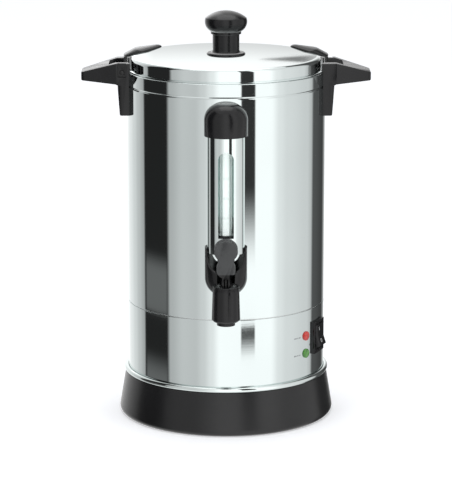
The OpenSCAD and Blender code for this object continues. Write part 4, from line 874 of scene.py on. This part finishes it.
skins = {
    "base": {"bottom_cover": 0.4},
    "black": {"handle_right": 2.2, "handle_left": 2.2, "latch_right": 0.5, "latch_left": 0.5,
              "gauge_cap": 0.6, "gauge_nut": 0.3, "tap_cover": 0.6, "tap_body": 0.4, "tap_bonnet": 0.25,
              "switch_housing": 0.4, "switch_rocker": 0.4, "power_inlet": 0.4},
    "rubber": {"rubber_feet": 0.3, "shank_seals": 0, "gauge_seal_top": 0, "gauge_seal_bottom": 0},
    "hardware": {"bottom_screws": 0.1, "knob_screw": 0.1, "knob_washer": 0.1, "handle_screws_right": 0.1,
                 "handle_screws_left": 0.1, "gauge_cap_screw": 0.1, "shank_nut": 0.3, "light_clips": 0.1,
                 "heater_nuts": 0.2, "inlet_screws": 0.1},
    "inner": {"tank_bottom": 0, "pump_tube": 0.1, "pump_foot": 0.1, "coffee_basket": 0, "basket_spreader": 0,
              "heater_plate": 0.2, "thermostat": 0.2},
    "silicone": {"seat_cup": 0.3},
    "blackened": {"latch_pin_right": 0.2, "latch_pin_left": 0.2, "lever_pin": 0.2, "valve_stem": 0.1},
    "red": {"red_light": 0.3},
    "green": {"green_light": 0.3},
    "sheath": {"heating_element": 0},
    "terminal": {"terminal_block": 0.4, "thermal_fuse": 0.1},
    "lead": {"wiring": 0},
    "brass": {"inlet_pins": 0.2},
}

# the photograph's lid is bare: it mirrors neither its own knob nor the latches
unmirrored = ("lidKnob", "knob_screwSkin", "knob_washerSkin", "latch_rightSkin", "latch_leftSkin")

for look, edges in skins.items():
    for node, edge in edges.items():
        keep(copied(node, edge), node + "Skin", finish[look], bodyOf[node], node)
for name in unmirrored:
    bpy.data.objects[name].visible_glossy = False
print("skins made")


# studio: floor, light tent that only metal and gloss see, lamps and camera

studio = {"tentRadius": 1.0, "tentLow": -0.8, "tentHigh": 1.6, "tentTurns": 96,
          "floorReach": 12, "floorGlow": 0.3, "floorScale": 40, "floorTints": (grey(0.93), grey(0.95)),
          "around": (0.93, 0.95, 1.0, 1), "aroundStrength": 0.75, "seenStrength": 1.0,
          "cameraAt": (0, -2.7708, 0.8042), "cameraTilt": 77.35, "lens": 183.07, "clipEnd": 50,
          # strength of the tent's cloth by its turn from the camera, in degrees
          "bands": [(-180, 1.15), (-160, 1.15), (-140, 0.95), (-127, 0.80), (-117, 0.63), (-107, 0.48),
                    (-103, 0.02), (-69.5, 0.02), (-64.5, 0.52), (-48, 0.66), (-34, 0.64), (-25, 0.75),
                    (-16, 0.95), (-6, 1.25), (50, 1.25), (62, 0.96), (72, 0.86), (104, 0.75), (111, 0.62),
                    (117, 0.10), (145, 0.06), (152, 0.30), (165, 0.95), (180, 1.15)],
          # a narrow gobo makes the dark stripe right of the gauge: its edges in turn, how it fades out
          # downwards and the short piece of it that hangs lower
          "gobo": (15.6, 17.4, 31, 33), "goboDark": 0.97, "goboFade": (-0.03, 0.10),
          "goboLow": (-0.158, -0.118, -0.107),
          # faint light within the dark band on the left: its turns, its heights and the floor's shine below
          "streakTurns": (-104, -100, -71, -67), "streak": (-0.105, -0.095, -0.04, -0.005),
          "streakLow": (-0.20, -0.155), "streakStrength": 0.13,
          # two cards behind the urn light the tops of its handles, the left one most; the cloth between
          # them dims towards them
          "cards": (0.47, 0.50), "cardTurns": (150, 155, 170, 174), "cardSides": (-1, 1),
          "cardLeft": 0.9, "cardRight": 0.0,
          "backDim": (0.524, 0.564), "backDimBy": 0.38,
          # a dark wedge behind on the right, which the lid's top mirrors: where it starts and ends, the
          # height of its tip, the heights of its far end, and how its edges fade
          "wedgeX": (0.039, 0.126), "wedgeZ": (0.5526, 0.5446, 0.5575), "wedgeFade": (0.002, 0.001),
          "wedgeDark": 0.8}

lamps = {"keyLamp": {"at": (-1.6, -1.6, 2.2), "size": 1.4, "watts": 14},
         "fillLamp": {"at": (1.8, -1.4, 1.6), "size": 1.2, "watts": 8},
         "topLamp": {"at": (0.0, 0.6, 2.6), "size": 1.6, "watts": 10}}
lampAim = (0, 0, 0.22)


def makeFloor():
    s = studio
    bm = bmesh.new()
    bmesh.ops.create_grid(bm, x_segments=1, y_segments=1, size=s["floorReach"])
    floor = loose("floor", meshOf(bm, "floor", outward=False))
    material, paint = newMaterial("paleFloor")
    speck = paint.noise(s["floorScale"])
    cloth = paint.make("ShaderNodeBsdfDiffuse", {}, {"Color": paint.mix(speck, *s["floorTints"])})
    glow = paint.make("ShaderNodeEmission", {}, {
        "Color": (1, 1, 1, 1), "Strength": paint.rays("Is Camera Ray") * s["floorGlow"]})
    paint.surface(paint.make("ShaderNodeAddShader", {}, [cloth, glow]))
    floor.data.materials.append(material)
    floor.visible_glossy = False


def bandShade(az):
    # the cloth's strength by turn alone
    bands = studio["bands"]
    shade = bands[0][1]
    for (a, low), (b, high) in zip(bands, bands[1:]):
        if low != high:
            shade = az.ramp(a, b) * (high - low) + shade
    return shade


def goboMask(az, height):
    a, b, c, d = studio["gobo"]
    low, mid, top = studio["goboLow"]
    hung = height.ramp(*studio["goboFade"]) + height.ramp(low, mid) * (height < top)
    return (az.ramp(a, b) - az.ramp(c, d)) * hung


def streakMask(az, height):
    a, b, c, d = studio["streakTurns"]
    low, rise, fall, top = studio["streak"]
    lit = height.ramp(low, rise) - height.ramp(fall, top) + 1 - height.ramp(*studio["streakLow"])
    return lit * (az.ramp(a, b) - az.ramp(c, d))


def wedgeMask(x, height):
    # opens from its tip to its far end
    tip, end = studio["wedgeX"]
    level, under, over = studio["wedgeZ"]
    fadeLow, fadeTop = studio["wedgeFade"]
    reach = (x - tip) / (end - tip)
    overLow = height - (reach * (under - level) + level)
    overTop = height - (reach * (over - level) + level)
    return (reach > 0) * overLow.ramp(0, fadeLow) * (1 - overTop.ramp(-fadeTop, 0))


def tentShade(paint):
    # the strength of the tent's cloth, by turn and height
    s = studio
    az = paint.turn() * (180 / math.pi)
    x, y, height = paint.axes()
    shade = bandShade(az) * (1 - goboMask(az, height) * s["goboDark"])
    shade = shade + streakMask(az, height) * s["streakStrength"]
    a, b, c, d = s["cardTurns"]
    around = az.math("ABSOLUTE")
    behind = around.ramp(c, d)
    high = height.ramp(*s["cards"])
    card = az.ramp(*s["cardSides"]) * (s["cardRight"] - s["cardLeft"]) + s["cardLeft"]
    shade = shade + high * (around.ramp(a, b) - behind) * card
    shade = shade - high * behind * (1 - height.ramp(*s["backDim"])) * s["backDimBy"]
    return shade * (1 - wedgeMask(x, height) * behind * s["wedgeDark"])


def makeTent():
    s = studio
    turns = [2 * math.pi * i / s["tentTurns"] for i in range(s["tentTurns"])]
    bm = bmesh.new()
    low, high = [[bm.verts.new((s["tentRadius"] * math.sin(t), -s["tentRadius"] * math.cos(t), z))
                  for t in turns] for z in (s["tentLow"], s["tentHigh"])]
    for i in range(len(turns)):
        j = (i + 1) % len(turns)
        bm.faces.new((low[i], low[j], high[j], high[i]))
    tent = loose("lightTent", meshOf(bm, "lightTent", outward=False))
    material, paint = newMaterial("tentCloth")
    paint.surface(paint.make("ShaderNodeEmission", {}, {"Color": (1, 1, 1, 1), "Strength": tentShade(paint)}))
    tent.data.materials.append(material)
    for ray in ("camera", "diffuse", "transmission", "shadow", "volume_scatter"):
        setattr(tent, "visible_" + ray, False)


def makeWorld():
    world = bpy.data.worlds.new("studioWorld")
    bpy.context.scene.world = world
    paint = Paint(world)
    seen = paint.rays("Is Camera Ray", "Is Glossy Ray", "Is Transmission Ray").math("MINIMUM", 1.0)
    around = paint.make("ShaderNodeBackground", {}, {"Color": studio["around"],
                                                     "Strength": studio["aroundStrength"]})
    white = paint.make("ShaderNodeBackground", {}, {"Color": (1, 1, 1, 1),
                                                    "Strength": studio["seenStrength"]})
    both = paint.make("ShaderNodeMixShader", {}, [seen, around, white])
    paint.make("ShaderNodeOutputWorld", {}, {"Surface": both})


def makeLamp(name, at, size, watts):
    light = bpy.data.lights.new(name, "AREA")
    light.shape = "SQUARE"
    light.size = size
    light.energy = watts
    lamp = bpy.data.objects.new(name, light)
    lamp.location = at
    lamp.rotation_euler = (Vector(lampAim) - Vector(at)).to_track_quat("-Z", "Y").to_euler()
    bpy.context.scene.collection.objects.link(lamp)


def makeCamera():
    camera = bpy.data.objects.new("camera", bpy.data.cameras.new("camera"))
    camera.location = studio["cameraAt"]
    camera.rotation_euler = (math.radians(studio["cameraTilt"]), 0, 0)
    camera.data.lens = studio["lens"]
    camera.data.clip_end = studio["clipEnd"]
    bpy.context.scene.collection.objects.link(camera)
    bpy.context.scene.camera = camera


makeFloor()
makeTent()
makeWorld()
for name, lamp in lamps.items():
    makeLamp(name, **lamp)
makeCamera()
bpy.context.scene.view_settings.view_transform = "Standard"
print("studio made")
